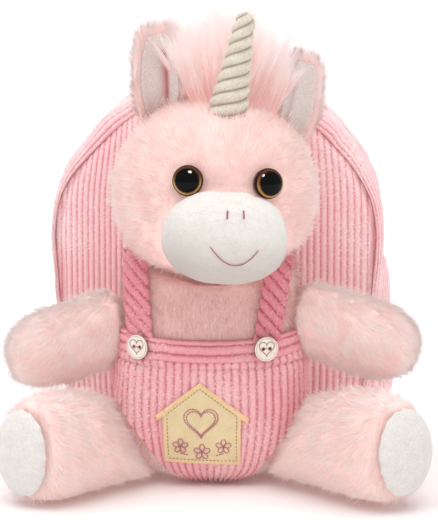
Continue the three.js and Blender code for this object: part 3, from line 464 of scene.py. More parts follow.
def short_pile(name, light, shade, size=1.1, relief=0.5, painted_shade=None, glow=0.0):
    """Velvet with a pile too short to show strands."""
    # A glow, where given, is painted light in the shade colour.
    velvet = Finish(
        name, Roughness=0.95, Emission_Strength=glow, Emission_Color=shade, Sheen_Weight=0.5,
        Sheen_Roughness=0.4, Specular_IOR_Level=0.2,
    )
    nap = velvet.cloud(size, 4.0, 0.65)
    swept = velvet.cloud(6.0, 4.0, 0.7, scale=(0.6, 1.0, 1.0))
    colour = velvet.mix(velvet.between(nap * 0.85 + swept * 0.35, 0.4, 0.78), shade, light)
    # Painted shade: towards a darker colour as far as the piece's tone attribute says.
    if painted_shade:
        colour = velvet.mix(velvet.attribute("tone"), colour, painted_shade)
    return velvet.feed(Base_Color=colour, Normal=velvet.bump(nap + swept * 0.4, relief, 0.8))


def felt_finish():
    felt = Finish("felt_finish", Roughness=0.95, Sheen_Weight=0.15, Specular_IOR_Level=0.2)
    fibres = felt.cloud(1.4, 5.0, 0.75)
    lay = felt.cloud(9.0, 3.0, 0.6)
    worn = felt.between(fibres * 0.6 + lay * 0.5, 0.3, 0.8)
    colour = felt.mix(worn, tone(226, 204, 158), tone(240, 222, 180))
    colour = felt.mix(felt.attribute("tone"), colour, tone(250, 214, 168))
    return felt.feed(Base_Color=colour, Normal=felt.bump(fibres + lay * 0.6, 0.3, 0.8))


def thread_finish(name, light, dark):
    thread = Finish(name, Roughness=0.55, Sheen_Weight=0.2)
    strands = thread.cloud(0.5, 2.0, 0.6)
    return thread.feed(Base_Color=thread.mix(strands, dark, light), Normal=thread.bump(strands, 0.12, 0.6))


def wood_finish():
    wood = Finish("wood_finish", Roughness=0.5, Coat_Weight=0.15, Coat_Roughness=0.3)
    grain = wood.cloud(2.4, 4.0, 0.6, scale=(1.0, 1.0, 0.25))
    colour = wood.mix(wood.between(grain, 0.3, 0.75), tone(248, 232, 220), tone(255, 247, 240))
    colour = wood.mix(wood.attribute("tone"), colour, tone(96, 48, 40))
    return wood.feed(Base_Color=colour, Normal=wood.bump(grain, 0.08, 0.5))


def webbing_finish(name, light, dark):
    """Woven tape: a fine basket weave by Object coordinates."""
    tape = Finish(name, Roughness=0.8, Sheen_Weight=0.3)
    weave = tape.node("TexVoronoi", Vector=tape.place((1.0, 1.0, 0.7)), Scale=0.9)
    fibre = tape.cloud(0.7, 3.0)
    height = 1.0 - weave
    colour = tape.mix(tape.between(height * 0.7 + fibre * 0.4, 0.3, 0.95), dark, light)
    return tape.feed(Base_Color=colour, Normal=tape.bump(height, 0.35, 0.8))


def plastic_finish(name, colour):
    plastic = Finish(name, Roughness=0.42)
    grain = plastic.cloud(0.6, 2.0)
    shade = plastic.cloud(14.0, 2.0)
    return plastic.feed(
        Base_Color=plastic.mix(shade, darker(colour, 0.86), colour),
        Normal=plastic.bump(grain, 0.05, 0.5), Roughness=grain * 0.15 + 0.35,
    )


def eye_finish():
    """Black pupil, amber ring and dark rim, by the share of the way to the rim."""
    eye = Finish("eye_finish", Roughness=0.05, Specular_IOR_Level=0.14)
    out = eye.attribute("tone")
    flecks = eye.cloud(1.6, 3.0) - 0.5
    # Painted shade: the ring is darker towards its top, under the fur above the eye.
    low = eye.between(flecks * 0.5 - eye.attribute("across"), -0.7, 0.75)
    ring = eye.mix(low, tone(92, 54, 28), tone(196, 152, 92))
    ring = eye.mix(eye.between(out + flecks * 0.08, 0.76, 0.86), tone(58, 32, 16), ring)
    colour = eye.mix(eye.between(out, 0.74, 0.77), tone(3, 3, 4), ring)
    colour = eye.mix(eye.between(out, 0.9, 0.94), colour, tone(44, 18, 14))
    return eye.feed(Base_Color=colour)


pink = (tone(254, 212, 215), tone(235, 157, 168), tone(255, 236, 237))
bag_cloth = corduroy("bag_corduroy", *pink)
ribbed_cloth = corduroy("ribbed_corduroy", *pink, relief=0.4)
ribbed_trouser = corduroy(
    "trouser_corduroy", tone(250, 188, 194), tone(220, 130, 144), tone(255, 220, 222), relief=0.45
)
# Painted shade: the waistband's is a darker copy of the trousers' corduroy, for the shade under the head.
ribbed_band = corduroy(
    "band_corduroy", tone(244, 172, 182), tone(212, 118, 134), tone(253, 204, 209), relief=0.45
)
# Painted shade: the braces' is darker again, for their shade under the head.
ribbed_brace = corduroy(
    "brace_corduroy", tone(228, 142, 154), tone(190, 92, 110), tone(242, 176, 185), relief=0.45
)
fur_finish = pile(
    "pink_fur", tone(248, 209, 203), tone(255, 248, 246), glow=0.2, scattered=tone(252, 204, 197)
)
# Painted shade: a darker copy of the fur for the chest in the shade under the head.
shaded_fur = pile("shaded_fur", tone(216, 168, 161), tone(255, 232, 227), glow=0.16)
mane_finish = pile(
    "mane_fur", tone(234, 166, 156), tone(255, 250, 249), roughness=0.8, glow=0.3,
    scattered=tone(255, 212, 206),
)
# Painted light: the backing under the fur glows faintly, so that it doesn't go dark in shade.
skin_finish = short_pile(
    "fur_backing", tone(255, 226, 220), tone(248, 206, 199), size=1.2, relief=0.3, glow=0.14
)
# Painted shade: a darker copy of the backing for the body in the shade under the head, also with a faint
# glow of painted light.
shaded_skin = short_pile(
    "shaded_backing", tone(236, 196, 190), tone(222, 176, 169), size=1.2, relief=0.3, glow=0.12
)
white_velvet = short_pile(
    "white_velvet", tone(250, 247, 242), tone(230, 226, 219), size=0.8, relief=0.9,
    painted_shade=tone(194, 186, 179),
)
# Painted shade: a darker copy of the muzzle's white velvet, for the soles' shade.
sole_velvet = short_pile("sole_velvet", tone(241, 238, 234), tone(219, 215, 209), size=0.8, relief=0.6)
lining_velvet = short_pile(
    "lining_velvet", tone(236, 226, 222), tone(216, 204, 200), painted_shade=tone(190, 118, 122)
)
horn_velvet = short_pile(
    "horn_velvet", tone(240, 233, 219), tone(208, 196, 178), size=0.8, relief=0.6,
    painted_shade=tone(150, 133, 112),
)
felt = felt_finish()
wood = wood_finish()
webbing = webbing_finish("pink_webbing", tone(244, 160, 174), tone(206, 104, 122))
rose_plastic = plastic_finish("rose_plastic", tone(226, 132, 148))
pink_thread = thread_finish("pink_thread", tone(206, 88, 124), tone(140, 44, 80))
mauve_thread = thread_finish("mauve_thread", tone(208, 134, 152), tone(170, 94, 118))
brown_thread = thread_finish("brown_thread", tone(160, 112, 72), tone(116, 76, 46))
eye_gloss = eye_finish()


# Fur


def roots(made, count, seed, keep):
    """Random places on a piece's skin, as thick as keep says, with the skin's normal at each."""
    mesh = made.data
    mesh.calc_loop_triangles()
    corners = np.empty(len(mesh.loop_triangles) * 3, np.int32)
    mesh.loop_triangles.foreach_get("vertices", corners)
    corners = corners.reshape(-1, 3)
    points, normals = points_of(made)
    a, b, c = (points[corners[:, i]] for i in range(3))
    area = np.linalg.norm(np.cross(b - a, c - a), axis=1) * keep((a + b + c) / 3)
    rng = np.random.default_rng(seed)
    chosen = rng.choice(len(corners), size=count, p=area / area.sum())
    u, v = rng.random((2, count, 1))
    flip = u + v > 1
    u, v = np.where(flip, 1 - u, u), np.where(flip, 1 - v, v)
    picked = corners[chosen]
    share = (1 - u - v, u, v)
    place = sum(points[picked[:, i]] * share[i] for i in range(3))
    normal = unit(sum(normals[picked[:, i]] * share[i] for i in range(3)))
    return place, normal, rng


STRAND_ANGLES = (math.pi / 2, 7 * math.pi / 6, 11 * math.pi / 6)


def strands(
    name, place, normal, lean, length, width, rng, finish, slot, shade=0.0, bends=0, droop=None,
    replaces=(), tips=1.0, roll=0.3,
):
    """One mesh of tapering three-sided strands, each with a flat face outwards. lean is the
    way each one lies, length and width are in mm, roll is how far the flat face strays. With
    bends, a strand has that many joints and droops towards droop."""
    count = len(place)
    heading = unit(normal * 0.01 + lean)
    side = unit(np.cross(heading, normal + roll * rng.normal(size=(count, 3))))
    third = np.cross(heading, side)
    length = np.broadcast_to(np.asarray(length, float), count)[:, None]
    width = np.broadcast_to(np.asarray(width, float), count)[:, None]
    rings = []
    shares = np.linspace(0, 1, bends + 2)
    spine = place - normal * 0.4
    way = heading
    for k, share in enumerate(shares):
        if k:
            if droop is not None:
                way = unit(way + droop * (1.0 / len(shares)))
            spine = spine + way * length / (len(shares) - 1)
        if k == len(shares) - 1:
            rings.append(spine[:, None])
            break
        radius = width / 2 * (1 - share**1.5)
        ring = [spine + radius * (math.cos(a) * side + 0.8 * math.sin(a) * third) for a in STRAND_ANGLES]
        rings.append(np.stack(ring, 1))
    points = np.concatenate(rings, 1)
    each = points.shape[1]
    faces = [(0, 2, 1)]
    for k in range(bends):
        for i in range(3):
            j = (i + 1) % 3
            low, high = 3 * k, 3 * k + 3
            faces += [(low + i, low + j, high + j), (low + i, high + j, high + i)]
    last = 3 * bends
    faces += [(last + i, last + (i + 1) % 3, each - 1) for i in range(3)]
    faces = (np.array(faces)[None] + (np.arange(count) * each)[:, None, None]).reshape(-1, 3)
    along = np.repeat(shares, [3] * (bends + 1) + [1])
    own = rng.normal(0, 0.12, (count, 1)) + np.asarray(shade, float).reshape(-1, 1)
    tones = np.clip(along[None] * 0.55 * tips + 0.25 + own, 0, 1)
    made = piece(name, points, faces, finish, replaces, tone=tones)
    around = [math.cos(a) * side + math.sin(a) * third for a in STRAND_ANGLES]
    radial = np.stack(around * (bends + 1) + [heading], 1)
    soft = unit((normal * 0.7 + heading * 0.2)[:, None] + radial * 0.6).reshape(-1, 3)
    made.data.normals_split_custom_set_from_vertices(soft.tolist())
    return made


def combed(place, normal, flow, rng, stand=0.45, mess=0.12, tuft=9.0, seed=1, locks=0.16):
    """The way fur lies: it stands a little off the skin, is brushed along flow, and falls
    into soft locks."""
    along = unit(flow - normal * (flow * normal).sum(1, keepdims=True))
    tufts = np.stack([ripple(place, tuft, seed + k) for k in range(3)], 1) * locks
    wild = rng.normal(0, mess, place.shape)
    fuzz = (rng.random((len(place), 1)) < 0.1) * normal * 0.8
    return unit(normal * stand + along * 0.9 + tufts + wild + fuzz)


# The bag


def bag_outline(count=1600):
    """The seam line in X and Z, even steps anticlockwise from the middle of the bottom."""
    bottom = SEAM_HALF_WIDTH - BAG_TAPER
    t = np.linspace(0, 1, 60)[:, None]
    turn = ((bottom - BAG_CORNER, 0.0), (bottom, 0.0), (bottom, BAG_CORNER))
    start, corner, end = (np.array(p) for p in turn)
    curve = (1 - t) ** 2 * start + 2 * t * (1 - t) * corner + t**2 * end
    angle = np.linspace(0, np.pi / 2, 120)[:, None]
    arch = np.hstack([np.cos(angle), np.sin(angle)]) * SEAM_HALF_WIDTH + (0, ARCH_CENTRE)
    half = np.vstack([[(0.0, 0.0)], curve, arch])
    whole = np.vstack([half, half[-2::-1] * (-1, 1)])
    run = np.concatenate([[0], np.cumsum(np.linalg.norm(np.diff(whole, axis=0), axis=1))])
    even = np.linspace(0, run[-1], count + 1)
    return np.stack([np.interp(even, run, whole[:, 0]), np.interp(even, run, whole[:, 1])], 1), run[-1]


OUTLINE, OUTLINE_LENGTH = bag_outline()
PANEL_MIDDLE = ARCH_CENTRE * 0.9
from_middle = OUTLINE[:-1] - (0, PANEL_MIDDLE)
ray_angle = np.arctan2(from_middle[:, 1], from_middle[:, 0])
ray_order = np.argsort(ray_angle)
RAY_ANGLE, RAY_REACH = ray_angle[ray_order], np.linalg.norm(from_middle, axis=1)[ray_order]


def outline_at(share):
    """Points and outward normals of the seam line at shares of the way round."""
    step = np.asarray(share, float) % 1 * (len(OUTLINE) - 1)
    index = np.arange(len(OUTLINE))

    def at(step):
        return np.stack([np.interp(step, index, OUTLINE[:, k]) for k in (0, 1)], -1)

    along = unit(at((step + 3) % index[-1]) - at((step - 3) % index[-1]))
    return at(step), np.stack([along[..., 1], -along[..., 0]], -1)


def way_to_seam(x, z):
    """How far a place on a panel lies towards the seam line, from 0 to 1, and how far off it in mm."""
    z = z - PANEL_MIDDLE
    reach = np.interp(np.arctan2(z, x), RAY_ANGLE, RAY_REACH, period=2 * np.pi)
    share = np.hypot(x, z) / reach
    return share, (1 - share) * reach


def front_face(x, z):
    """The depth of the front panel's face: domed, and tucked back under the gusset's roll."""
    share, off = way_to_seam(x, z)
    share = np.clip(share, 0, 1)
    tuck = np.where(z < 40, 0.35, 1.0) * 4.4 * (1 - smooth(off, 5.0, 8.6))
    return FRONT_SEAM_Y - 3.4 + tuck - PANEL_DOME * (1 - share**2.4)


# The gusset from its seam with a panel to the zip: run along the cloth, height off the seam
# line and depth behind the panel's seam
SECTION = [
    (0.0, -7.6, 1.4), (2.8, -6.3, -1.4), (5.8, -4.0, -3.3), (9.1, -0.8, -3.3), (13.0, 2.6, -1.2),
    (17.4, 5.3, 2.6), (22.8, 7.0, 7.9), (31.0, 7.5, 16.0), (53.0, 7.5, 38.0),
]
SECTION_RUN = SECTION[-1][0]


def section(run):
    """Height and depth of the gusset's cloth at a run from the seam, and the way out of it."""
    height, depth = (column([(row[0], row[k]) for row in SECTION], run) for k in (1, 2))
    further = (column([(row[0], row[k]) for row in SECTION], run + 0.3) for k in (1, 2))
    ahead = [value - before for value, before in zip(further, (height, depth))]
    long = np.maximum(np.hypot(*ahead), 1e-6)
    level = run > SECTION_RUN - 0.4
    out = (np.where(level, 1.0, ahead[1] / long), np.where(level, 0.0, -ahead[0] / long))
    return height, depth + np.maximum(run - SECTION_RUN, 0), out


def fullness(z):
    """How far the gusset swells at a height, from 0 at the floor to 1."""
    return smooth(z, BAG_CORNER * 0.2, BAG_CORNER * 2.0)


def slack(z, side):
    """How much less the sides stand out below the arch."""
    return (3.0 if side > 0 else 5.2) * (1 - smooth(z, 130, 190)) * smooth(z, 10, 60)


def spread(x, z):
    """How far the front seam comes out to the sides below the arch."""
    return np.where(x < 0, 6.6, 4.6) * (1 - smooth(z, 185, 245)) * smooth(z, 8, 60)


def bulge(z, y, side=1):
    """How far the gusset stands out from the seam line at a height and depth."""
    back = np.minimum(y - FRONT_SEAM_Y, BAG_DEPTH - (y - FRONT_SEAM_Y))
    run = np.linspace(4.0, SECTION_RUN, 60)
    height, depth, _ = section(run)
    swell = np.interp(back, np.maximum.accumulate(depth), height)
    return fullness(z) * swell - slack(z, side) * smooth(back, -2, 8)


def rib(across):
    """The round top of a wale, from 0 in the groove to 1."""
    return np.abs(np.sin(np.pi * across)) ** 0.72


def wale_count(x):
    """Wales from the middle: the cloth is stretched wider to the right than to the left."""
    fine = np.linspace(-130, 130, 521)
    wide = WALE + 0.42 * np.tanh(fine / 50.0)
    run = np.concatenate([[0], np.cumsum(0.5 / wide[:-1])])
    return np.interp(x, fine, run - run[260])


def panel_grid(reach, per_wale, rows):
    """Columns along the wales of a panel, each from the lower to the upper seam."""
    fine = np.linspace(-reach, reach, 2001)
    count = wale_count(fine)
    first, last = math.ceil(count[0] * per_wale), math.floor(count[-1] * per_wale)
    x = np.interp(np.arange(first, last + 1) / per_wale, count, fine)
    half = len(OUTLINE) // 2
    widest = int(np.argmax(OUTLINE[:half, 0]))
    low = np.interp(np.abs(x), OUTLINE[: widest + 1, 0], OUTLINE[: widest + 1, 1])
    high = np.interp(-np.abs(x), -OUTLINE[widest : half + 1, 0], OUTLINE[widest : half + 1, 1])
    even = np.linspace(0, 1, rows)
    v = (0.45 * even + 0.55 * (1 - np.cos(np.pi * even)) / 2)[:, None]
    z = low + (high - low) * v
    return np.broadcast_to(x, z.shape), z


def front_panel():
    """The bag's domed front, sunk between its wales and puckered along the seam."""
    x, z = panel_grid(SEAM_HALF_WIDTH - 0.8, 6, 32)
    across = wale_count(x)
    share, off = way_to_seam(x, z)
    fade = 1 - (1 - smooth(off, 0.0, 5.0)) * 0.4
    flat = np.stack([x, np.zeros_like(x), z], -1)
    sag = field(flat, 55.0, 11) * 0.9 * (1 - share**4)
    pucker = field(flat, 12.0, 12) * 0.5 * smooth(share, 0.8, 0.97)
    y = front_face(x, z) + (1 - rib(across)) * 0.95 * fade + np.maximum(sag, -0.6) * 0.6 + pucker * 0.4
    points = np.stack([x * (1 + spread(x, z) / SEAM_HALF_WIDTH), y, z], -1)
    # Painted shadow along the seam, reaching further in along the grooves.
    seam_shadow = np.clip(1 - smooth(off + 1.2 * (1 - rib(across)), 0.4, 3.2), 0, 1)
    made = piece(
        "front_panel", points, grid_faces(*x.shape), ribbed_cloth, ["bag_front_panel"],
        across=across, tone=seam_shadow,
    )
    thicken(made, 1.8)


ZIP_Y = FRONT_SEAM_Y + BAG_DEPTH / 2
ZIP_HALF = 6.0
ZIP_FROM = 150.0
GUSSET_WALE = 5.0


def gusset_sheet(name, run, shares, back=False, replaces=()):
    """A strip of the gusset whose wales run along it, over a range of its section."""
    steps = np.linspace(*run, int((run[1] - run[0]) / GUSSET_WALE * (4 if back else 6)) + 1)
    height, depth, out = section(steps)
    across = (steps - SECTION[1][0]) / GUSSET_WALE
    point, normal = outline_at(shares)
    x0, z0 = point[:, :1], point[:, 1:]
    full = fullness(z0)
    relief = (rib(across) - 1) * 1.35
    off = full * height - 0.1 * (1 - full) + relief * (out[0] * full + (1 - full) * 0.6)
    level = 0.1 + steps * BAG_DEPTH / 2 / (SECTION_RUN + ZIP_HALF)
    deep = depth * full + (1 - full) * level + relief * out[1] * full
    y = BACK_SEAM_Y - deep if back else FRONT_SEAM_Y + deep
    y = np.minimum(y, BACK_FACE_Y - 0.1)
    flat = np.stack(np.broadcast_arrays(x0, y, z0), -1)
    folds = field(flat, 16.0, 21) * 0.45 + field(flat, 45.0, 22) * 0.6
    off = off + folds * smooth(z0, 12, 40) * smooth(steps, 0, 8)
    off = off - np.where(x0 < 0, slack(z0, -1), slack(z0, 1)) * smooth(deep, 0, 12)
    if not back:
        out_to = spread(x0, z0) * np.abs(normal[:, :1])
        near = 1 - smooth(deep, 10, 40)
        off = off * (1 - near * out_to / 9.5) + out_to * near
    off = np.where(z0 < 4, np.minimum(off, -0.1), off)
    points = np.stack([x0 + normal[:, :1] * off, y, np.maximum(z0 + normal[:, 1:] * off, 0.0)], -1)
    faces = grid_faces(len(shares), len(steps))
    # The tone paints shadow along the seam with the panel, fading over the strip's first few mm.
    return piece(
        name, points, faces[:, ::-1] if back else faces, ribbed_cloth, replaces,
        across=np.broadcast_to(across, off.shape),
        tone=np.broadcast_to(1 - smooth(steps, 1.0, 4.5), off.shape),
    )


def share_at_height(z):
    """The share of the way round at which the seam line's right side reaches a height."""
    half = len(OUTLINE) // 2
    return np.interp(z, OUTLINE[60 : half - 1, 1], np.arange(60, half - 1)) / (len(OUTLINE) - 1)


def gusset():
    """One band round the bag, with the zip's slot over the arch."""
    zip_from = float(share_at_height(ZIP_FROM))
    around = np.linspace(0, 1, 116)
    below = np.linspace(-zip_from, zip_from, 50)
    lip, middle = (0.0, SECTION_RUN), (SECTION_RUN, SECTION_RUN + ZIP_HALF)
    parts = [
        gusset_sheet("gusset", lip, around, replaces=["bag_gusset"]),
        gusset_sheet("gusset_back", lip, around, back=True),
        gusset_sheet("gusset_floor", middle, below),
        gusset_sheet("gusset_floor_back", middle, below, back=True),
    ]
    only(*parts)
    bpy.ops.object.join()
    thicken(parts[0], 1.6)


def zip_pieces():
    """Tape with two rows of interlocking teeth over the arch."""
    zip_from = float(share_at_height(ZIP_FROM)) + 0.001
    shares = np.linspace(zip_from, 1 - zip_from, 150)
    y = np.array([-5.7, -4.0, -2.3, -1.2, 0.0, 1.2, 2.3, 4.0, 5.7])
    point, normal = outline_at(shares)
    grid_y = np.broadcast_to(ZIP_Y + y, (len(shares), len(y)))
    off = bulge(point[:, 1:], grid_y) - 2.2 + 0.5 * np.exp(-((y / 2.2) ** 2))
    x, z = point[:, :1] + normal[:, :1] * off, point[:, 1:] + normal[:, 1:] * off
    faces = grid_faces(*grid_y.shape)
    tape = piece(
        "zip_tape_cloth", np.stack([x, grid_y, z], -1), faces, webbing, ["zip_tape"]
    )
    thicken(tape, 0.9)
    teeth = int(OUTLINE_LENGTH * (1 - 2 * zip_from) / 1.7)
    at = zip_from + (1 - 2 * zip_from) * (np.arange(teeth) + 0.5) / teeth
    side = np.where(np.arange(teeth) % 2, 1.0, -1.0)
    point, normal = outline_at(at)
    y = ZIP_Y + side * 0.55
    off = bulge(point[:, 1], y) - 1.15
    centre = np.stack([point[:, 0] + normal[:, 0] * off, y, point[:, 1] + normal[:, 1] * off], -1)
    out = np.stack([normal[:, 0], 0 * y, normal[:, 1]], -1)
    along = np.stack([-normal[:, 1], 0 * y, normal[:, 0]], -1)
    wide = np.array([0.0, 1.0, 0.0])
    square = [(-1, -1), (1, -1), (1, 1), (-1, 1)]
    shape = [(a, b, -1) for a, b in square] + [(0.6 * a, 0.8 * b, 1) for a, b in square]
    points = np.stack(
        [centre + along * a * 0.52 + wide * b * 1.35 + out * c * 0.6 for a, b, c in shape], 1
    )
    block = np.array([(0, 3, 2, 1), (4, 5, 6, 7), (0, 1, 5, 4), (1, 2, 6, 5), (2, 3, 7, 6), (3, 0, 4, 7)])
    faces = block[None] + (np.arange(teeth) * 8)[:, None, None]
    face_out(piece("zip_teeth", points, faces.reshape(-1, 4), rose_plastic, smooth_faces=False))


# How far a pocket stands out from its foot to its rim, as a share of its fullness
POCKET_STAND = [(0, 0), (0.1, 0.75), (0.28, 1), (0.6, 0.72), (0.86, 0.5), (0.96, 0.28), (1, 0.02)]
POCKET_INSET = 8.0
POCKET_FOOT = 12.0
POCKET_HEIGHT = 132.0
POCKET_HEM = 0.93


def side_pocket(name, side, stand):
    """A gathered cloth pocket with a hemmed rim."""
    y0, y1 = FRONT_SEAM_Y + POCKET_INSET, BACK_SEAM_Y - POCKET_INSET
    rows = np.linspace(0, 1, 32)[:, None]
    y = np.linspace(y0, y1, int((y1 - y0) / WALE * 5))[None, :]
    u = (y - y0) / (y1 - y0)
    z = POCKET_FOOT + POCKET_HEIGHT * rows
    x0 = outline_at(share_at_height(z[:, 0]))[0][:, :1]
    off = column(POCKET_STAND, rows) * stand * np.sin(np.pi * u) ** 0.5
    across = np.broadcast_to((y - y0) / WALE, off.shape)
    flat = np.stack(np.broadcast_arrays(y * 1.0, z * 0.35, 0 * y), -1)
    gather = field(flat, 9.0, 31 + side) * 0.5 * (1 - smooth(rows, 0.05, 0.35) * 0.8)
    hem = -0.7 * bump_at(rows, POCKET_HEM, 0.012) + 0.5 * smooth(rows, POCKET_HEM, 0.97)
    relief = (rib(across) - 1) * 0.8 * (1 - 0.3 * smooth(rows, POCKET_HEM, 0.95))
    clear = 1.9 if side > 0 else 0.8
    x = side * (x0 + bulge(z, y, side) + clear + off + relief + gather * min(stand / 6, 1) + hem)
    points = np.stack(np.broadcast_arrays(x, y, z), -1)
    made = piece(
        name, points, grid_faces(*off.shape), ribbed_cloth, ["side_" + name], across=across
    )
    face_towards(made, (side, 0, 0))
    thicken(made, 1.3)


QUILT_X = 44.0


def back_panel():
    """The padded back, with three quilting lines down it."""
    x, z = panel_grid(SEAM_HALF_WIDTH - 0.8, 4, 22)
    across = wale_count(x)
    share, off = way_to_seam(x, z)
    flat = np.stack([x, 0 * x, z], -1)
    pad = 3.4 - 4.4 * (1 - smooth(off, 5.0, 8.6))
    lines = bump_at(x, 0, 1.6) + bump_at(np.abs(x), QUILT_X, 1.6)
    quilt = -0.9 * lines * (1 - smooth(share, 0.8, 0.9))
    y = BACK_SEAM_Y + 0.5 + pad + (rib(across) - 1) * 0.8 + quilt + field(flat, 40.0, 14) * 0.3
    y = np.minimum(y, BACK_FACE_Y - 0.05)
    made = piece(
        "back_panel", np.stack([x, y, z], -1), grid_faces(*x.shape)[:, ::-1], ribbed_cloth,
        ["bag_back_panel"], across=across,
    )
    thicken(made, 2.0)


def tape(node, name):
    """Flat tape from its solid: fine steps along it and rounded edges."""
    made = copy_of(node, name)
    modify(made, "BEVEL", width=0.35 * MM, segments=2, limit_method="ANGLE", angle_limit=math.radians(40))
    modify(made, "SUBSURF", levels=1, render_levels=1, subdivision_type="SIMPLE")
    only(made)
    bpy.ops.object.shade_smooth_by_angle(angle=math.radians(50))
    dress(made, webbing, [node])


def strap(name):
    """The padded upper strap, its webbing and the slide."""
    pad = stuffed(
        f"shoulder_pad_{name}", f"pad_{name}", bag_cloth, 0.6, voxel=2.8, pressure=3.0,
        cap=1.2, rounds=4,
    )
    mark(pad, "across", points_of(pad)[0][:, 0] / WALE)
    tape(f"strap_webbing_{name}", f"tape_{name}")
    recolour(f"strap_adjuster_{name}", rose_plastic)


def bag():
    front_panel()
    gusset()
    zip_pieces()
    back_panel()
    side_pocket("pocket_left", -1, 1.0)
    side_pocket("pocket_right", 1, 18.0)
    tape("carrying_loop", "hand_loop")
    for name in ("left", "right"):
        strap(name)
    recolour("zip_slider", rose_plastic)


# Where the camera stands, and what it sees at a place in its frame

FRAME_WIDTH, FRAME_HEIGHT = 438.0, 520.0
SENSOR = 36.0
VIEW_AZIMUTH, VIEW_ELEVATION, VIEW_DISTANCE = math.radians(3), math.radians(8), 1600.0
VIEW_TARGET = np.array([5.0, -60.0, 155.0])
VIEW_LENS = 158.2
VIEW_BACK = np.array([
    math.sin(VIEW_AZIMUTH) * math.cos(VIEW_ELEVATION),
    -math.cos(VIEW_AZIMUTH) * math.cos(VIEW_ELEVATION),
    math.sin(VIEW_ELEVATION),
])
VIEW_RIGHT = np.array([math.cos(VIEW_AZIMUTH), math.sin(VIEW_AZIMUTH), 0.0])
VIEW_UP = np.cross(VIEW_BACK, VIEW_RIGHT)
VIEW_EYE = VIEW_TARGET + VIEW_BACK * VIEW_DISTANCE


def studio_camera():
    lens = bpy.data.cameras.new("studio_camera")
    lens.lens = VIEW_LENS
    lens.sensor_width = SENSOR
    lens.clip_start, lens.clip_end = 0.05, 20.0
    camera = bpy.data.objects.new("studio_camera", lens)
    bpy.context.collection.objects.link(camera)
    camera.location = Vector((VIEW_EYE + SHIFT) * MM)
    camera.rotation_euler = Vector(-VIEW_BACK).to_track_quat("-Z", "Y").to_euler()
    bpy.context.scene.camera = camera


def seen(made, across, down, lift):
    """The point of a piece that shows at a pixel of the frame, raised off it by lift."""
    reach = VIEW_LENS / SENSOR * FRAME_HEIGHT
    level = VIEW_RIGHT * (across - FRAME_WIDTH / 2) + VIEW_UP * (FRAME_HEIGHT / 2 - down)
    start = Vector((VIEW_EYE + SHIFT) * MM)
    hit, point, normal, _ = made.ray_cast(start, Vector(unit(-VIEW_BACK * reach + level)))
    if not hit:
        raise ValueError(f"{made.name} isn't seen at {across}, {down}")
    return np.array(point) / MM - SHIFT + np.array(normal) * lift


def thread(points, radius, sides=6, taper=0.35):
    """Points and faces of a thread along points, with drawn-in ends."""
    points = np.asarray(points, float)
    along = unit(np.gradient(points, axis=0))
    side = unit(np.cross(along, (0.13, 0.31, 0.94)))
    third = np.cross(along, side)
    count = len(points)
    swell = np.ones(count)
    swell[0] = swell[-1] = taper
    angle = np.arange(sides) / sides * 2 * np.pi
    rings = points[:, None] + radius * swell[:, None, None] * (
        np.cos(angle)[None, :, None] * side[:, None] + np.sin(angle)[None, :, None] * third[:, None]
    )
    faces = grid_faces(count, sides, closed=True)[:, ::-1]
    end = np.array([[0, i, i + 1] for i in range(1, sides - 1)])
    ends = [end[:, [0, 2, 1]], end + (count - 1) * sides]
    return rings.reshape(-1, 3), np.concatenate([faces[:, [0, 1, 2]], faces[:, [0, 2, 3]], *ends])


def threads(name, lines, radius, finish):
    """Many stitches as one piece."""
    points, faces, count = [], [], 0
    for line in lines:
        p, f = thread(line, radius)
        points.append(p)
        faces.append(f + count)
        count += len(p)
    face_out(piece(name, np.concatenate(points), np.concatenate(faces), finish))


# The unicorn's body and clothes

# Shares of the body's half width and half depth, and how far its middle is set back, going up
BODY_SHARES = (0, 0.05, 0.15, 0.32, 0.52, 0.68, 0.84, 0.95, 1)
BODY_WIDTH = list(zip(BODY_SHARES, (0.56, 0.8, 0.94, 1, 0.97, 0.96, 0.94, 0.8, 0.3)))
BODY_DEPTH = list(zip(BODY_SHARES, (0.62, 0.84, 0.97, 1, 0.96, 0.9, 0.84, 0.68, 0.3)))
BODY_SET = list(zip(BODY_SHARES, (0, 0, 0, 0, 0.01, 0.02, 0.06, 0.12, 0.16)))

# The trousers' lower edge, as shares of HEM_REACH to the side and of HEM_RISE up
HEM_REACH, HEM_RISE = 69.0, 66.0
HEM_LEFT = [(0.32, -0.1), (0.36, 0.04), (0.44, 0.15), (0.58, 0.35), (0.82, 0.72), (1.0, 1.0), (1.1, 1.1)]
HEM_RIGHT = [(0.44, -0.1), (0.48, 0.04), (0.6, 0.24), (0.76, 0.48), (0.94, 0.8), (1.05, 1.05), (1.1, 1.1)]


def body_sizes(z):
    """The body's half width, half depth and middle at a height."""
    share = (np.asarray(z, float) - BODY_BOTTOM) / BODY_LENGTH
    return (
        column(BODY_WIDTH, share) * BODY_HALF_WIDTH, column(BODY_DEPTH, share) * BODY_HALF_DEPTH,
        BODY_Y + column(BODY_SET, share) * BODY_HALF_DEPTH,
    )


def body_round(angle, z, off):
    """The body's surface at an angle, 0 to the right and a quarter turn back to the front."""
    a, b, y = body_sizes(z)
    square = np.abs(np.cos(angle)) ** BODY_SQUARE + np.abs(np.sin(angle)) ** BODY_SQUARE
    pull = square ** (-1 / BODY_SQUARE)
    x = BODY_X + (a + off) * pull * np.cos(angle)
    y = y + (b + off) * pull * np.sin(angle)
    return np.stack(np.broadcast_arrays(x, np.minimum(y, front_face(x, z) - 0.8), z), -1)


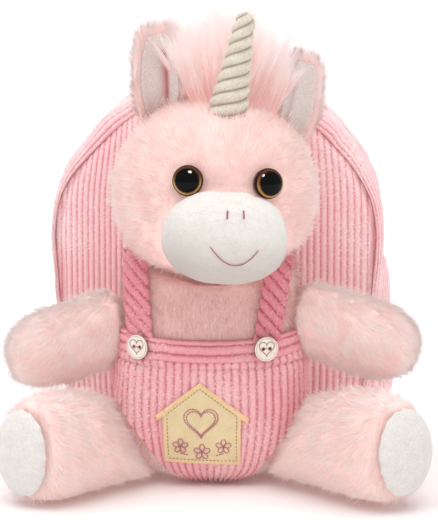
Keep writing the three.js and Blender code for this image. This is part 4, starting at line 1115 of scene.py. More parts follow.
def body_front(x, z, off=0.0):
    """The front of the body under a place in X and Z, and the way out of it."""
    a, b, y = body_sizes(z)
    a, b = a + off, b + off
    share = np.clip(np.abs(x - BODY_X) / a, 0, 0.999)
    depth = (1 - share**BODY_SQUARE) ** (1 / BODY_SQUARE)
    point = np.stack(np.broadcast_arrays(x, y - b * depth, z), -1)
    p = BODY_SQUARE - 1
    out = np.broadcast_arrays(np.sign(x - BODY_X) * share**p / a, -(depth**p) / b, 0 * z)
    return point, unit(np.stack(out, -1))


def waist_at(y):
    """The height of the waist's seam at a depth: it is drawn down at the front."""
    ahead = np.clip((BODY_Y - y) / BODY_HALF_DEPTH, 0, 1)
    return WAIST_HEIGHT + WAIST_DIP * (1 - ahead**2)


# How far round the body the trousers and waistband go, up to the bag on both sides
GIRTH = (-1.42 * np.pi, 0.42 * np.pi)


def girth_angles(per_wale, wale):
    """Angles at even steps along the body's girth, and the wales counted from the front."""
    fine = np.linspace(*GIRTH, 4000)
    ring = body_round(fine, 55.0, 0.0)
    run = np.concatenate([[0], np.cumsum(np.linalg.norm(np.diff(ring[:, :2], axis=0), axis=1))])
    run -= np.interp(-np.pi / 2, fine, run)
    first, last = np.ceil(run[0] / wale), np.floor(run[-1] / wale)
    count = np.arange(first * per_wale, last * per_wale + 1) / per_wale
    return np.interp(count * wale, run, fine), count


def dungarees():
    """Ribbed trouser front from the waist to the leg openings, its wales ending in scallops."""
    angle, across = girth_angles(5, TROUSER_WALE)
    angle = angle[None, :]
    steps = [np.linspace(0, 0.06, 4), np.linspace(0.09, 0.83, 20), np.linspace(0.855, 1, 14)]
    rows = np.concatenate(steps)[:, None]
    crown = rib(across)[None, :]
    top = np.full(angle.shape, WAIST_HEIGHT + 1.0)
    low = np.full(angle.shape, 30.0)
    for _ in range(5):
        x = (body_round(angle, low, 2.0)[..., 0] - BODY_X) / HEM_REACH
        left, right = np.interp(-x, *np.array(HEM_LEFT).T), np.interp(x, *np.array(HEM_RIGHT).T)
        low = np.clip(0.5 * low + 0.5 * np.where(x < 0, left, right) * HEM_RISE, 0.6, 80.0)
        top = waist_at(body_round(angle, top, 2.0)[..., 1])
    low = low + 2.3 * (1 - crown) + 0.4
    top = top + 0.6 - 1.6 * (1 - crown)
    z = low + (top - low) * rows
    flat = body_round(angle, z, 0.0)
    folds = field(flat * (1, 1, 0.45), 26.0, 41) * 0.8 + field(flat * (1, 1, 0.3), 10.0, 42) * 0.25
    above = z - (waist_at(body_round(angle, top, 2.0)[..., 1]) - 6.8)
    puffs = 0.9 * bump_at(above, 2.6, 1.5) * (0.4 + 0.6 * rib(across * 1.5))
    gather = bump_at(above, -5, 4.5) + 0.8 * bump_at(z - low, 3, 3.0)
    tuck = -2.0 * (1 - smooth(rows, 0.0, 0.055)) ** 2 - 0.8 * smooth(rows, 0.975, 1.0)
    wales = (crown - 1) * (1.5 - 0.6 * smooth(above, -1.0, 1.0))
    off = 2.6 + wales + folds * 0.7 + gather * 0.7 + puffs - 1.5 * bump_at(above, 0, 0.8) + tuck
    made = piece(
        "trousers", body_round(angle, z, np.maximum(off, 0.7)), grid_faces(*z.shape), ribbed_trouser,
        ["dungarees"], across=np.broadcast_to(across, z.shape),
    )
    face_away(made, (BODY_X, BODY_Y, 60.0))
    thicken(made, 1.5)


def face_away(made, middle):
    """Turns a sheet so that its faces look away from a point."""
    points, _ = points_of(made)
    total = 0.0
    for polygon in list(made.data.polygons)[:: max(1, len(made.data.polygons) // 400)]:
        centre = np.array(polygon.center) / MM - SHIFT - np.array(middle)
        total += float(centre @ np.array(polygon.normal))
    if total < 0:
        made.data.flip_normals()


def waistband():
    """Two round ribs and a folded edge round the waist, drawn down at the front."""
    angle = np.linspace(*GIRTH, 190)[None, :]
    rows = np.linspace(0, 1, 28)[:, None]
    y = body_round(angle, 95.0, 3.0)[..., 1]
    ahead = np.clip((BODY_Y - y) / BODY_HALF_DEPTH, 0, 1)
    z = waist_at(y) - 2.6 + 2.2 * (1 - ahead**2) + 15.8 * rows
    flat = body_round(angle, z, 0.0)
    sway = field(flat * (1, 1, 0.1), 30.0, 53) * 0.025 * np.sin(np.pi * rows)
    ribs = column([(-0.1, 0), (0, 0), (0.4, 1), (0.8, 2), (1, 3), (1.1, 3.2)], rows + sway)
    pucker = field(flat * (1, 1, 0.2), 7.0, 51) * 0.3 + field(flat, 24.0, 52) * 0.4
    end = -2.4 * (1 - smooth(rows, 0.0, 0.06)) - 2.0 * smooth(rows, 0.95, 1.0)
    fold = -1.0 * smooth(ribs, 1.9, 2.3)
    off = 4.1 + (rib(ribs) - 1) * 1.9 + pucker + end + fold
    made = piece(
        "waist_ribs", body_round(angle, z, off), grid_faces(*z.shape), ribbed_band,
        ["waistband"], across=np.broadcast_to(ribs, z.shape),
    )
    face_away(made, (BODY_X, BODY_Y, 96.0))
    thicken(made, 1.6)


# A brace's place to the side at the waist and at its top, and the slant of its wales in degrees
BRACES = {"left": (-45.0, -52.5, 45), "right": (38.5, 51.0, 51)}
BRACE_FOOT, BRACE_TOP = 96.0, 160.0
BRACE_WALE = 6.2


def brace(name):
    """A strap up the chest whose wales run aslant."""
    low, top, slant = BRACES[name]
    u = np.sin(np.linspace(-1, 1, 24) * np.pi / 2)[None, :]
    v = np.linspace(0, 1, 96)[:, None]
    z = BRACE_FOOT + (BRACE_TOP - BRACE_FOOT) * v + 0 * u
    middle = BODY_X + low + (top - low) * (z - WAIST_HEIGHT) / (BODY_BOTTOM + BODY_LENGTH - WAIST_HEIGHT)

    def wales(x):
        return (x * math.sin(math.radians(slant)) + z * math.cos(math.radians(slant))) / BRACE_WALE

    edge = np.abs(u) ** 6
    x = middle + u * (9.4 - 1.7 * (1 - rib(wales(middle + u * 9.2))) * edge)
    across = wales(x)
    off = 0.7 + 2.9 * np.sqrt(np.maximum(1 - edge, 0)) + (rib(across) - 1) * 1.5 * (1 - 0.5 * edge)
    off = off + field(np.stack([x, 0 * x, z], -1), 20.0, 57) * 0.35 * (1 - edge)
    points, out = body_front(x, z, 0.4)
    made = piece(
        f"brace_cloth_{name}", points + out * off[..., None], grid_faces(*z.shape), ribbed_brace,
        [f"brace_{name}"], across=across,
    )
    face_away(made, (BODY_X, BODY_Y, 120.0))
    thicken(made, 1.4)


def heart(t, size):
    """A heart's outline by an angle, about its middle."""
    x = 16 * np.sin(t) ** 3
    z = 13 * np.cos(t) - 5 * np.cos(2 * t) - 2 * np.cos(3 * t) - np.cos(4 * t) + 2.5
    return np.stack([x, z], -1) * size / 16.0


BUTTON_HEIGHT = 98.5
BUTTON_STANDS = 5.2
BUTTON_RADIUS = 8.7
BUTTON_THICKNESS = 2.6
BUTTON_HOLE_X = 2.35
BUTTON_FACE_RINGS = 44


def button(name):
    """A turned wooden button: rim, groove, an engraved heart outline and two holes."""
    point, out = body_front(np.array(BODY_X + BRACES[name][0]), np.array(BUTTON_HEIGHT), 0.0)
    out = unit(out)
    centre = point + out * BUTTON_STANDS
    across, up = unit(np.cross((0, 0, 1.0), out)), np.array((0, 0, 1.0))
    turn = np.linspace(0, 2 * np.pi, 96, endpoint=False)
    inner, rim = np.linspace(0.01, 0.94, BUTTON_FACE_RINGS), [0.965, 1.0, 1.0, 0.96, 0.035]
    r = np.concatenate([inner, rim]) * BUTTON_RADIUS
    flat = np.full(BUTTON_FACE_RINGS, BUTTON_THICKNESS)
    level = np.concatenate([flat, [BUTTON_THICKNESS - 0.15, BUTTON_THICKNESS - 0.7, 0.6, 0.0, 0.0]])
    grid_r, grid_t = np.meshgrid(r, turn, indexing="ij")
    x, z = grid_r * np.cos(grid_t), grid_r * np.sin(grid_t)
    height = np.broadcast_to(level[:, None], x.shape).copy()
    top = (np.arange(len(r)) < BUTTON_FACE_RINGS)[:, None]
    groove = bump_at(grid_r, 7.5, 0.2)
    outline = heart(np.linspace(0, 2 * np.pi, 240), 5.5)
    far = np.min(np.hypot(x[..., None] - outline[:, 0], z[..., None] - outline[:, 1]), -1)
    carved = bump_at(far, 0, 0.3)
    hole = np.maximum.reduce(
        [1 - smooth(np.hypot(x - s * BUTTON_HOLE_X, z - 0.2), 1.0, 1.35) for s in (-1, 1)]
    )
    height -= top * (groove * 0.4 + carved * 0.3 + hole * 1.6)
    dark = np.clip(top * (groove * 0.5 + carved * 1.0 + hole * 1.3), 0, 1)
    dark[BUTTON_FACE_RINGS + 1 : BUTTON_FACE_RINGS + 4] = 0.8
    points = centre + x[..., None] * across + z[..., None] * up + height[..., None] * out
    made = piece(
        f"wooden_button_{name}", points, grid_faces(*x.shape, closed=True), wood,
        [f"button_{name}"], tone=dark,
    )
    face_out(made)
    fill_ends(made, 200)
    bpy.ops.object.shade_smooth_by_angle(angle=math.radians(50))
    # The thread goes down one hole and up the other: how far out to the side, up and off the wood
    half = [(1, 0.3, -1.0), (0.95, 0.3, 0.15), (0.4, 0.4, 0.4)]
    route = [(-a, b, c) for a, b, c in half] + half[::-1]
    line = [
        centre + across * a * BUTTON_HOLE_X + up * b + out * (BUTTON_THICKNESS + c) for a, b, c in route
    ]
    threads(f"button_thread_{name}", [np.array(line)], 0.26, mauve_thread)


PATCH_X = BODY_X - 3.0
PATCH_OUTLINE = [
    (-25.4, 18.8), (25.8, 17), (26.5, 49.6), (31, 46.6), (31.6, 50.6), (-1.6, 75.6), (-31.4, 52),
    (-30.8, 47.8), (-26.8, 50.6),
]
PATCH_SEAM = [(-22.4, 21.7), (22.8, 20.2), (23.4, 52.2), (-1.6, 71.4), (-23.6, 53.2), (-22.4, 21.7)]
PATCH_GRID = 2.6
# Flowers on the patch: across, up and size; and stems: across, at the flower and at the foot
FLOWERS = [(-14.5, 31.0, 1.25), (14.5, 31.0, 1.25), (0.0, 27.0, 1.35)]
STEMS = [(-14.5, -8.0), (14.5, 8.0)]


def inside_patch(x, z):
    """Distance inwards from the patch's outline, below 0 outside it."""
    corners = np.array(PATCH_OUTLINE, float)
    best = np.full(x.shape, 1e9)
    inside = np.zeros(x.shape, bool)
    for a, b in zip(corners, np.roll(corners, -1, axis=0)):
        ab = b - a
        t = np.clip(((x - a[0]) * ab[0] + (z - a[1]) * ab[1]) / (ab @ ab), 0, 1)
        best = np.minimum(best, np.hypot(x - a[0] - t * ab[0], z - a[1] - t * ab[1]))
        crosses = (a[1] > z) != (b[1] > z)
        with np.errstate(divide="ignore", invalid="ignore"):
            inside ^= crosses & (x < (b[0] - a[0]) * (z - a[1]) / (b[1] - a[1]) + a[0])
    return np.where(inside, best, -best)


def on_patch(x, z, lift):
    """A place on the patch, raised off its felt by lift."""
    point, out = body_front(np.asarray(PATCH_X + x, float), np.asarray(z, float), 0.0)
    return point + out * (4.4 + np.asarray(lift, float))[..., None]


def patch():
    """A house of felt with an edged roof, sewn on and worked with a heart and small flowers."""
    mesh = bpy.data.meshes.new("felt_house")
    made = bpy.data.objects.new("felt_house", mesh)
    bpy.context.collection.objects.link(made)
    form = bmesh.new()
    form.faces.new([form.verts.new((x, 0, z)) for x, z in PATCH_OUTLINE])
    form.to_mesh(mesh)
    form.free()
    only(made)
    bpy.ops.object.mode_set(mode="EDIT")
    for value in np.arange(-32, 33, PATCH_GRID):
        bpy.ops.mesh.select_all(action="SELECT")
        bpy.ops.mesh.bisect(plane_co=(value, 0, 0), plane_no=(1, 0, 0))
    for value in np.arange(19, 75, PATCH_GRID):
        bpy.ops.mesh.select_all(action="SELECT")
        bpy.ops.mesh.bisect(plane_co=(0, 0, value), plane_no=(0, 0, 1))
    bpy.ops.mesh.select_all(action="SELECT")
    bpy.ops.mesh.remove_doubles(threshold=0.01)
    bpy.ops.mesh.quads_convert_to_tris()
    bpy.ops.object.mode_set(mode="OBJECT")
    modify(made, "SUBSURF", levels=1, render_levels=1, subdivision_type="SIMPLE")
    count = len(mesh.vertices)
    flat = np.empty(count * 3, np.float32)
    mesh.vertices.foreach_get("co", flat)
    flat = flat.reshape(-1, 3).astype(float)
    x, z = flat[:, 0], flat[:, 2]
    inner = np.maximum(inside_patch(x, z), 0)
    stitched = bump_at(inner, 3.0, 0.7)
    round_edge = 1 - (1 - np.clip(inner / 1.2, 0, 1)) ** 2
    roof = (z > 45.5) * (1 - smooth(inner, 2.3, 2.9)) * (z + np.abs(x + 1.0) * 0.77 > 70.6)
    cord = np.sqrt(np.maximum(1 - ((inner - 1.3) / 1.35) ** 2, 0))
    lift = -0.7 + round_edge * 0.9 - stitched * 0.3 + ripple(flat, 14.0, 61) * 0.12
    edge_x = x + np.sign(x) * 0.12 * ripple(flat, 5.0, 62)
    move_points(made, on_patch(edge_x, z, lift + roof * (cord * 1.1 - 0.3)))
    mark(made, "tone", np.maximum(roof, 0.75 * (1 - smooth(inner, 1.6, 2.4))))
    dress(made, felt, ["patch"])
    face_towards(made, (0, -1, 0))
    thicken(made, 1.0)
    only(made)
    bpy.ops.object.shade_smooth_by_angle(angle=math.radians(45))
    patch_stitches()


def run_of(points, step, length):
    """Dashes of a length at even steps along a flat line."""
    points = np.asarray(points, float)
    run = np.concatenate([[0], np.cumsum(np.linalg.norm(np.diff(points, axis=0), axis=1))])
    dashes, at = [], 0.0
    while at + length < run[-1]:
        s = np.linspace(at, at + length, 5)
        dashes.append(np.stack([np.interp(s, run, points[:, k]) for k in (0, 1)], 1))
        at += step
    return dashes


def on_felt(flat, arch, sunk=-0.25):
    """A flat stitch laid on the patch, its ends drawn into the felt."""
    flat = np.asarray(flat, float)
    t = np.linspace(-1, 1, len(flat))
    return on_patch(flat[:, 0], flat[:, 1], 0.25 + sunk + arch * (1 - t**4))


def patch_stitches():
    """The seam round the patch, a heart in two rows of stitches and three flowers."""
    seam = [on_felt(dash, 0.3) for dash in run_of(PATCH_SEAM, 2.5, 1.5)]
    threads("patch_seam", seam, 0.24, brown_thread)
    lines = []
    t = np.linspace(0, 2 * np.pi, 200)
    for size in (11.5, 9.7):
        lines += run_of(heart(t, size) + (-0.6, 47.0), 1.9, 1.7)
    loop = np.linspace(0, 2 * np.pi, 22)
    for x0, z0, size in FLOWERS:
        for k in range(5):
            a = k * 2 * np.pi / 5 + 0.3
            petal = np.stack([2.3 + 1.9 * np.cos(loop), 1.25 * np.sin(loop)], 1) * size
            turned = petal @ np.array([[np.cos(a), np.sin(a)], [-np.sin(a), np.cos(a)]])
            lines.append(turned + (x0, z0))
    stem = np.linspace(0, 1, 14)[:, None]
    for x0, x1 in STEMS:
        lines += run_of(np.hstack([x0 * (1 - stem) + x1 * stem, 26.2 - 1.7 * stem**0.6]), 1.9, 1.6)
    threads("patch_embroidery", [on_felt(line, 0.35, -0.05) for line in lines], 0.42, mauve_thread)
    centres = []
    for x0, z0, _ in FLOWERS:
        for k in (-0.5, 0.0, 0.5):
            centres.append(np.stack([np.linspace(x0 - 0.8, x0 + 0.8, 5), np.full(5, z0 + k)], 1))
    threads("flower_centres", [on_felt(line, 0.4, 0.1) for line in centres], 0.4, brown_thread)


# The unicorn's head

EYE_RADIUS = 10.5
EYES = {"left": -27.8, "right": 27.0}
EYE_UP = 11.5
# Middle across and up, half width and half height, in the head's frame
MUZZLE = (-2.0, -25.0, 44.0, 33.0)


def eye_frame(name):
    """An eye's middle and the way it looks, in the head's frame."""
    x, z = EYES[name], EYE_UP
    depth = HEAD_HALF[1] * math.sqrt(1 - (x / HEAD_HALF[0]) ** 2 - (z / HEAD_HALF[2]) ** 2)
    at = np.array([x, -depth, z])
    return at, unit(unit(at) * 0.65 + np.array([0, -1.0, 0]) * 0.35)


def eye(name):
    """A domed safety eye, its rim sunk in the fur."""
    at, out = eye_frame(name)
    side = unit(np.cross((0, 0, 1.0), out))
    up = np.cross(out, side)
    angle = np.linspace(0, np.pi / 2, 30)
    r = np.concatenate([np.sin(angle) * EYE_RADIUS, [EYE_RADIUS * 0.98, 0.5]])
    r[0] = 0.02
    level = np.concatenate([np.cos(angle) * 6.0, [-3.0, -3.5]])
    turn = np.linspace(0, 2 * np.pi, 56, endpoint=False)
    ring = side * np.cos(turn)[:, None] + up * np.sin(turn)[:, None]
    points = at + r[:, None, None] * ring[None] + level[:, None, None] * out
    tones = np.repeat(np.clip(r / EYE_RADIUS, 0, 1)[:, None], len(turn), 1)
    tones[-2:] = 1.0
    made = piece(
        f"safety_eye_{name}", placed(HEAD_PLACE, points.reshape(-1, 3)),
        grid_faces(len(r), len(turn), closed=True), eye_gloss, [f"eye_{name}"], tone=tones,
        across=np.broadcast_to(np.sin(turn), tones.shape),
    )
    face_out(made)
    fill_ends(made, 100)
    bpy.ops.object.shade_smooth()


def from_eyes(local):
    """How far points in the head's frame lie from the nearer eye's axis."""
    far = np.full(len(local), 1e9)
    for name in EYES:
        at, out = eye_frame(name)
        off = local - at
        aside = np.linalg.norm(off - (off @ out)[:, None] * out, axis=1)
        far = np.minimum(far, aside + 60 * (off @ out < -30))
    return far


def muzzle_reach(local, grow=0.0):
    """Below 1 where a point of the head lies behind the muzzle."""
    x, z, a, b = MUZZLE
    aside = np.abs((local[:, 0] - x) / (a + grow)) ** 2.3 + np.abs((local[:, 2] - z) / (b + grow)) ** 2.3
    return aside + 9.0 * (local[:, 1] > -15)


def face_creases(points, normals):
    """Sockets round the eyes, a pucker over the nose and soft dents where the stuffing pulls."""
    local = in_head(points)
    depth = 2.6 * bump_at(from_eyes(local), 0, 13.0, 4)
    front = local[:, 1] < -30
    brow = bump_at(local[:, 2] - 0.02 * local[:, 0] ** 2, 7.5, 2.6) * bump_at(local[:, 0], 0, 15.0)
    seam = bump_at(muzzle_reach(local, 2.5), 1.0, 0.16)
    depth = depth + front * (2.2 * brow + 1.6 * seam) + 0.8 * ripple(local, 42.0, 71)
    return points - normals * depth[:, None]


def clear_of_bag(points, gap):
    """Where points stand in front of the bag's front panel by more than a gap."""
    return points[:, 1] < front_face(points[:, 0], points[:, 2]) - gap


def head():
    """The head's padded skin, and its fur, brushed away from the middle of the face."""
    skin = stuffed("head", "head_skin", skin_finish, 2.6, creases=face_creases)
    neck = body_sizes(150.0)

    def keep(p):
        local = in_head(p)
        clear = np.where(np.abs(local[:, 0]) < 24, 7.0, 10.4)
        bare = (from_eyes(local) > clear) & (muzzle_reach(local, -1.5) > 1.0) & clear_of_bag(p, 2.5)
        off_neck = ((p[:, 0] - BODY_X) / neck[0]) ** 2 + ((p[:, 1] - BODY_Y) / neck[1]) ** 2
        return bare & ~((p[:, 2] < 150) & (off_neck < 0.5))

    place, normal, rng = roots(skin, 37000, 101, keep)
    local = in_head(place)
    flow = local - np.array([-2.0, -58.0, -14.0])
    flow[:, 2] -= 6.0
    flow = flow @ np.array(HEAD_PLACE)[:3, :3].T
    lean = combed(place, normal, unit(flow), rng, stand=0.24, mess=0.08, tuft=12.0, seed=110, locks=0.1)
    eye_far = from_eyes(local)
    near_eye = 1 - 0.4 * bump_at(eye_far, 9.0, 5.0)
    inner = (np.abs(local[:, 0]) < 26) * bump_at(eye_far, 8.0, 4.0)
    lean = unit(lean + normal * 1.3 * inner[:, None])
    near_nose = 1 - 0.4 * bump_at(muzzle_reach(local), 1.0, 0.25)
    length = rng.uniform(7.0, 11.0, len(place)) * near_eye * near_nose
    # A random tone, with painted shade: darker round the eye sockets, and a step darker over the whole head
    # than on the limbs.
    shade = 0.09 * ripple(place, 8.0, 112) - 0.2 - 0.3 * bump_at(eye_far, 9.0, 3.5)
    strands("head_fur", place, normal, lean, length, 0.46, rng, fur_finish, "plush", shade=shade)


# The mouth and nostrils as the photograph's pixels have them: across, down and half a width
MOUTH_MIDDLE, MOUTH_HALF_WIDTH, MOUTH_DROP = (234.2, 248.4), 24.0, 16.5
NOSTRILS = [(227.2, 0.4), (243.6, -0.3)]
NOSTRIL_ROWS = (211.0, 215.0, 219.6)


def muzzle_dents(points, normals):
    """A fold along the mouth, two dents at the nostrils and an uneven stuffing."""
    local = in_head(points)
    mouth = bump_at(local[:, 2] - 0.012 * local[:, 0] ** 2, -42.0, 2.4) * bump_at(local[:, 0], 0, 20.0, 4)
    nostrils = sum(
        bump_at(np.hypot(local[:, 0] - x, local[:, 2] + 15.0), 0, 3.2) for x in (-7.0, 5.0)
    )
    front = local[:, 1] < -70
    depth = front * (1.3 * mouth + 1.6 * nostrils) + 0.5 * ripple(local, 30.0, 75)
    return points - normals * depth[:, None]


def muzzle():
    """The velvet muzzle, painted with shade below, with its stitched mouth and nostrils."""
    made = stuffed(
        "muzzle", "muzzle_cloth", white_velvet, 1.0, voxel=3.3, cap=1.5,
        creases=muzzle_dents, subdivide=True,
    )
    local = in_head(points_of(made)[0])
    # Painted shade: darker below and towards the left side.
    below = 0.8 * smooth(-local[:, 2], 14, 56)
    aside = 0.3 * smooth(-local[:, 0], 8, 44) * smooth(-local[:, 2], -5, 25)
    mark(made, "tone", np.clip(below + aside, 0, 1))

    def line(spots, lift):
        x, y = np.array(spots, float).T
        t = np.linspace(0, 1, len(x))
        return np.array(
            [seen(made, np.interp(u, t, x), np.interp(u, t, y), lift) for u in np.linspace(0, 1, 5 * len(x))]
        )

    turn = np.linspace(-1, 1, 34)
    (x, y), drop = MOUTH_MIDDLE, MOUTH_DROP * (1 - np.abs(turn) ** 2.1)
    arc = np.stack([x + MOUTH_HALF_WIDTH * turn, y + drop + 1.76 * turn], 1)
    stitches = [line(arc[k : k + 4], 0.75) for k in range(0, len(arc) - 3, 2)]
    top, middle, foot = NOSTRIL_ROWS
    for x, tilt in NOSTRILS:
        for side in (x - 0.45, x + 0.35):
            stitches.append(line([(side + tilt, top), (side, middle), (side - tilt * 0.4, foot)], 0.8))
    threads("face_stitches", stitches, 0.33, pink_thread)


def horn():
    """A blunt cone of velvet wound into a spiral of round bands."""
    length, base, tip, lead, cords = 73.0, 14.5, 6.0, 26.5, 3
    rows, sides = 150, 48
    share = np.linspace(0, 1, rows)[:, None]
    angle = np.linspace(0, 2 * np.pi, sides, endpoint=False)[None, :]
    blunt = np.sqrt(1 - np.clip((share - 0.92) / 0.082, 0, 0.985) ** 2)
    plain = (base + (tip - base) * share) * blunt
    turns = (share * length / lead - angle / (2 * np.pi)) * cords
    band = np.abs(np.sin(np.pi * turns)) ** 0.75
    depth = 2.7 * (0.45 + 0.55 * plain / base) * (1 - band)

    def turned(r):
        return np.stack(np.broadcast_arrays(r * np.cos(angle), r * np.sin(angle), share * length), -1)

    r = np.maximum(plain - depth + 0.25 + field(turned(plain), 5.0, 81) * 0.18, 0.3)
    lean = Matrix.Translation((2.2, -24.0, HEAD_HALF[2] - 14.0)) @ Matrix.Rotation(math.radians(8), 4, "Y")
    # The tone paints shade into the grooves between the bands.
    made = piece(
        "spiral_horn", placed(HEAD_PLACE @ lean, turned(r).reshape(-1, 3)),
        grid_faces(rows, sides, closed=True), horn_velvet, ["horn"],
        tone=np.clip((1 - band) ** 2.4 * 1.05, 0, 1),
    )
    fill_ends(made, 100)
    face_out(made)


# Ears: across the head, lean and turn in degrees, how far sunk in, where the fold is and how
# deep it is
EARS = {"left": (-38.0, -5.0, -12.0, 0.0, 0.66, 1.0), "right": (48.0, 13.0, 24.0, 7.0, 0.45, 0.45)}
EAR_HEIGHT = 62.0
EAR_HALF_WIDTH = 13.0
EAR_WIDTH = [(0, 0.72), (0.3, 1), (0.6, 0.97), (0.82, 0.78), (0.94, 0.54), (1, 0.28)]


def ear_place(name):
    x, lean, turn, sink = EARS[name][:4]
    rise = HEAD_HALF[2] * math.sqrt(1 - (x / HEAD_HALF[0]) ** 2) - 10.0 - sink
    turned = Matrix.Rotation(math.radians(turn), 4, "Z") @ Matrix.Rotation(math.radians(lean), 4, "Y")
    return HEAD_PLACE @ Matrix.Translation((x, 6.0, rise)) @ turned


def ear_face(u, v, rim, back):
    """A cupped leaf that opens forwards, u across it and v up it."""
    cup = math.radians(58)
    half = column(EAR_WIDTH, v) * EAR_HALF_WIDTH + rim
    radius = half / math.sin(cup)
    angle = (2 * u - 1) * cup
    x, y = (radius + back) * np.sin(angle), (radius + back) * np.cos(angle) - radius
    return np.stack(np.broadcast_arrays(x, y, v * (EAR_HEIGHT + rim)), -1)


def ear(name, seed):
    """A stuffed ear, its fur, and the velvet of its hollow."""
    skin = stuffed(
        f"ear_{name}", f"ear_skin_{name}", skin_finish, 0.8, voxel=2.2, pressure=2.0,
        cap=0.8, rounds=4,
    )
    to_ear = ear_place(name).inverted()
    _, ahead, up = np.array(ear_place(name))[:3, :3].T

    def keep(p):
        local = placed(to_ear, p)
        half = column(EAR_WIDTH, np.clip(local[:, 2] / EAR_HEIGHT, 0, 1)) * EAR_HALF_WIDTH
        hollow = (np.abs(local[:, 0]) < half - 1.0) & (local[:, 1] < 0.5) & (local[:, 2] < 58)
        inside = np.linalg.norm(in_head(p) / np.array(HEAD_HALF), axis=1) < 0.98
        return ~hollow & ~inside

    place, normal, rng = roots(skin, 5500, seed, keep)
    local = placed(to_ear, place)
    front = np.where(local[:, 1:2] < 1.5, -0.5, 0.2) * ahead
    lean = combed(place, normal, up + 0 * place + front, rng, stand=0.42, mess=0.14, tuft=8.0, seed=seed)
    low = np.clip(1 - local[:, 2] / 30.0, 0, 1)
    # A random tone, with painted shade darker towards the ear's base.
    shade = 0.05 * ripple(place, 8.0, seed + 5) - 0.25 * low
    long = rng.uniform(6.0, 9.5, len(place))
    strands(f"ear_fur_{name}", place, normal, lean, long, 0.5, rng, fur_finish, "plush", shade=shade)

    u = np.linspace(0, 1, 30)[None, :]
    v = np.linspace(0.02, 0.95, 52)[:, None]
    fold_at, fold_depth = EARS[name][4:]
    fold = bump_at(u, fold_at, np.where(u < fold_at, 0.16, 0.05), 1.4)
    fold = fold * smooth(v, 0.12, 0.3) * (1 - smooth(v, 0.72, 0.86)) * fold_depth
    edge = np.abs(2 * u - 1) ** 6
    padded_rim = bump_at(np.abs(2 * u - 1), 0.8, 0.2) + bump_at(v, 0.88, 0.1)
    face = ear_face(u, v, 0.4, -0.9)
    face[..., 1] += fold * 0.9 + 0.9 * edge - 0.9 * np.minimum(padded_rim, 1)
    # The tone paints shade into the lining's fold and towards the ear's base.
    low = 1 - smooth(v, 0.05, 0.35)
    made = piece(
        f"ear_velvet_{name}", placed(ear_place(name), face.reshape(-1, 3)), grid_faces(*face.shape[:2]),
        lining_velvet, [f"ear_lining_{name}"],
        tone=np.clip(fold**1.5 * 1.15 + low * 0.4, 0, 1),
    )
    face_towards(made, -ahead)
    thicken(made, 0.9)


def mane():
    """A tuft of long fur behind the horn: rose at the roots, pale and loose at the tips."""
    rng = np.random.default_rng(131)
    count, locks = 7000, 90
    lock_x, lock_y = rng.uniform(-1, 1, locks), rng.uniform(-1, 1, locks)
    across, deep = rng.uniform(-1, 1, count), rng.uniform(-1, 1, count)
    own = np.argmin((across[:, None] - lock_x) ** 2 + 0.4 * (deep[:, None] - lock_y) ** 2, axis=1)
    x = 9.0 + across * 28.5
    y = deep * 15.0 + 3.0
    z = HEAD_HALF[2] * np.sqrt(np.clip(1 - (x / HEAD_HALF[0]) ** 2 - (y / HEAD_HALF[1]) ** 2, 0.1, 1)) - 5.5
    to_lock = 0.7
    a = across * (1 - to_lock) + lock_x[own] * to_lock
    stray = rng.normal(0, 0.09, locks)[own] + rng.normal(0, 0.03, count)
    heading = np.stack([
        0.06 + 0.3 * a + 0.16 * a * np.abs(a) + stray + (lock_x[own] - across) * 0.42,
        -0.05 + 0.12 * deep + (lock_y[own] - deep) * 0.22 + rng.normal(0, 0.03, count), np.ones(count),
    ], 1)
    place = np.stack([x, y, z], 1)
    tall = 71.0 - 27.0 * smooth(a, 0.0, 1.0) - 6.0 * smooth(-a, 0.5, 1.0)
    length = tall * (1 + rng.normal(0, 0.1, locks)[own]) * rng.uniform(0.6, 1.04, count) ** 0.6
    sway = rng.normal(0, 0.2, locks)[own]
    droop = np.stack([
        0.12 * a + sway + rng.normal(0, 0.03, count), rng.normal(0, 0.04, count), -0.03 * np.ones(count),
    ], 1)
    turn = np.array(HEAD_PLACE)[:3, :3].T
    heading = unit(heading) @ turn
    strands(
        "mane_hair", placed(HEAD_PLACE, place), heading, heading, length, rng.uniform(0.34, 0.56, count),
        rng, mane_finish, "mane", bends=2, droop=droop @ turn, replaces=["mane"], tips=1.7, shade=-0.15,
        roll=5.0,
    )


# Arms and legs: where each starts, its turn from the right in degrees, and its length
LIMBS = {
    "arm_left": ((-53, -43, 112), 153, 103),
    "arm_right": ((51, -43, 117), 29, 108),
    "leg_left": ((-45, -60, 36.5), 129, 120),
    "leg_right": ((46, -60, 37.5), 47.5, 127),
}


def heading_of(turn):
    a = math.radians(turn)
    return np.array([math.cos(a), -math.sin(a), 0.0])


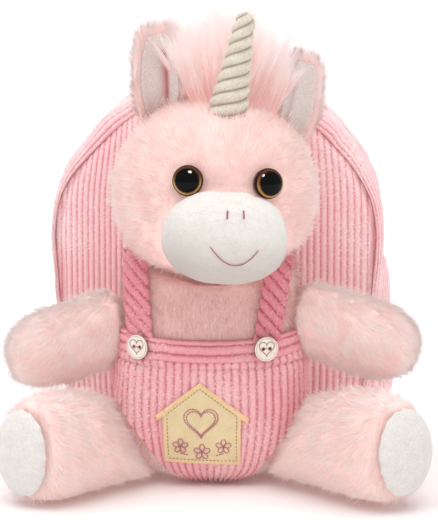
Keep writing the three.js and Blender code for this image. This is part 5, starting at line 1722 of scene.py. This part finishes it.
def limb(node, count, seed, sole=False):
    """A stuffed limb and its fur. An arm's is brushed out to the hand and falls below, a
    leg's runs back from the sole and falls to the floor."""
    start, turn, length = LIMBS[node]
    along = heading_of(turn)
    skin = stuffed(node, node + "_skin", skin_finish, 2.2, cap=1.8)

    def keep(p):
        reach = (p - start) @ along
        end = length - 2.2 if sole else np.inf
        return (clear_of_bag(p, 2.5) & (reach >= 1) & (reach <= end)) * np.where(p[:, 2] < 4, 0.45, 1.0)

    place, normal, rng = roots(skin, count, seed, keep)
    out = ((place - start) @ along / length)[:, None]
    flow = (-along * 0.8 if sole else along * (0.25 + 0.75 * out)) + np.array([0, 0, -0.7])
    lean = combed(place, normal, flow, rng, stand=0.26, mess=0.09, tuft=11.0, seed=seed, locks=0.12)
    long = rng.uniform(7.0, 11.0, len(place))
    long = long * np.where(place[:, 2] < 8, 0.45 + 0.55 * np.clip(place[:, 2] / 8, 0, 1), 1.0)
    shade = 0.09 * ripple(place, 8.0, seed + 2) + 0.1
    lean[:, 2] = np.where(place[:, 2] < 9, np.maximum(lean[:, 2], -0.12), lean[:, 2])
    strands(node + "_fur", place, normal, unit(lean), long, 0.5, rng, fur_finish, "plush", shade=shade)


def sole_pad(name):
    """A velvet sole that swells from its rim."""
    along = heading_of(LIMBS[f"leg_{name}"][1])

    def dome(points, normals):
        middle = (points.min(0) + points.max(0)) / 2
        off = points - middle
        deep = off @ along
        wide = np.linalg.norm(off - deep[:, None] * along, axis=1)
        share = np.clip(wide / wide.max(), 0, 1)
        return points + along * (np.clip(deep + 1.5, 0, 3) / 3 * 6.0 * (1 - share**2))[:, None]

    stuffed(
        f"sole_{name}", f"sole_velvet_{name}", sole_velvet, 0.1, voxel=1.6, pressure=3.0,
        cap=1.0, creases=dome,
    )


def body():
    """The stuffed body, with fur on the chest and, below the trousers, on the hips."""
    skin = stuffed(
        "body", "body_skin", shaded_skin, 2.6, voxel=4.6, pressure=4.0, cap=1.5, rounds=6
    )

    def keep(p):
        chest_part = (p[:, 2] > 96) & (p[:, 2] < 166) & clear_of_bag(p, 3)
        hips = (p[:, 2] < 60) & (np.abs(p[:, 0]) > 18) & (p[:, 1] < -58)
        return np.where(chest_part, 1.0, np.where(hips, 2.2, 0.0))

    place, normal, rng = roots(skin, 8000, 141, keep)
    down = np.array([[0, 0, -1.0]]) + 0 * place
    lean = combed(place, normal, down, rng, stand=0.34, mess=0.12, tuft=9.0, seed=142)
    under_chin = smooth(place[:, 2], 143, 150)
    lean = unit(lean + np.array([[0, -0.5, 1.6]]) * under_chin[:, None])
    # A random tone, with painted shade: lighter low on the chest and darker up under the head.
    shade = 0.1 * ripple(place, 6.0, 144) + 0.3 * (1 - smooth(place[:, 2], 98, 135)) - 0.1
    long = rng.uniform(6.0, 9.0, len(place)) + 3.0 * under_chin
    high = place[:, 2] > 70
    for part, name, finish in ((high, "chest_fur", shaded_fur), (~high, "hip_fur", fur_finish)):
        strands(
            name, place[part], normal[part], lean[part], long[part], 0.62, rng, finish, "plush",
            shade=shade[part] + rng.normal(0, 0.16, part.sum()), tips=1.2,
        )


def unicorn():
    body()
    dungarees()
    waistband()
    for name in BRACES:
        brace(name)
        button(name)
    patch()
    limb("arm_left", 15000, 151)
    limb("arm_right", 15000, 161)
    limb("leg_left", 16500, 171, sole=True)
    limb("leg_right", 16500, 181, sole=True)
    sole_pad("left")
    sole_pad("right")
    head()
    muzzle()
    horn()
    mane()
    ear("left", 201)
    ear("right", 221)
    for name in EYES:
        eye(name)


# Floor, light and camera

LIT = Vector((0, -0.06, 0.17))


def studio():
    """A pale floor, even air, a broad light above and a small window for the eyes' shine."""
    pale = Finish("studio_floor", Roughness=0.95, Specular_IOR_Level=0.1)
    grain = pale.cloud(400.0, 2.0)
    pale.feed(Base_Color=pale.mix(grain, tone(250, 249, 249), tone(252, 251, 251)))
    bpy.ops.mesh.primitive_plane_add(size=60.0, location=(0, 0, -0.0005))
    floor = bpy.context.active_object
    floor.name = "studio_floor"
    floor.data.materials.append(pale.material)
    world = bpy.data.worlds.new("studio_air")
    bpy.context.scene.world = world
    world.use_nodes = True
    air = world.node_tree.nodes["Background"].inputs
    air["Color"].default_value = (1.0, 0.985, 0.98, 1.0)
    air["Strength"].default_value = 0.65

    def lamp(name, kind, place, power, colour, **settings):
        light = bpy.data.lights.new(name, kind)
        light.energy, light.color = power, colour
        for word, value in settings.items():
            setattr(light, word, value)
        made = bpy.data.objects.new(name, light)
        bpy.context.collection.objects.link(made)
        made.location = place
        made.rotation_euler = (LIT - Vector(place)).to_track_quat("-Z", "Y").to_euler()
        return made

    warm, white = (1.0, 0.99, 0.98), (1.0, 1.0, 1.0)
    tent = lamp("overhead_tent", "SUN", (-0.1, -0.25, 1.5), 2.0, warm, angle=math.radians(75))
    tent.visible_glossy = False
    window = lamp("small_window", "AREA", (0.1, -1.3, 1.7), 70.0, white, shape="DISK", size=0.55)
    window.visible_diffuse = False
    bpy.context.scene.view_settings.view_transform = "Standard"


studio_camera()
bag()
unicorn()
studio()
bpy.context.view_layer.update()
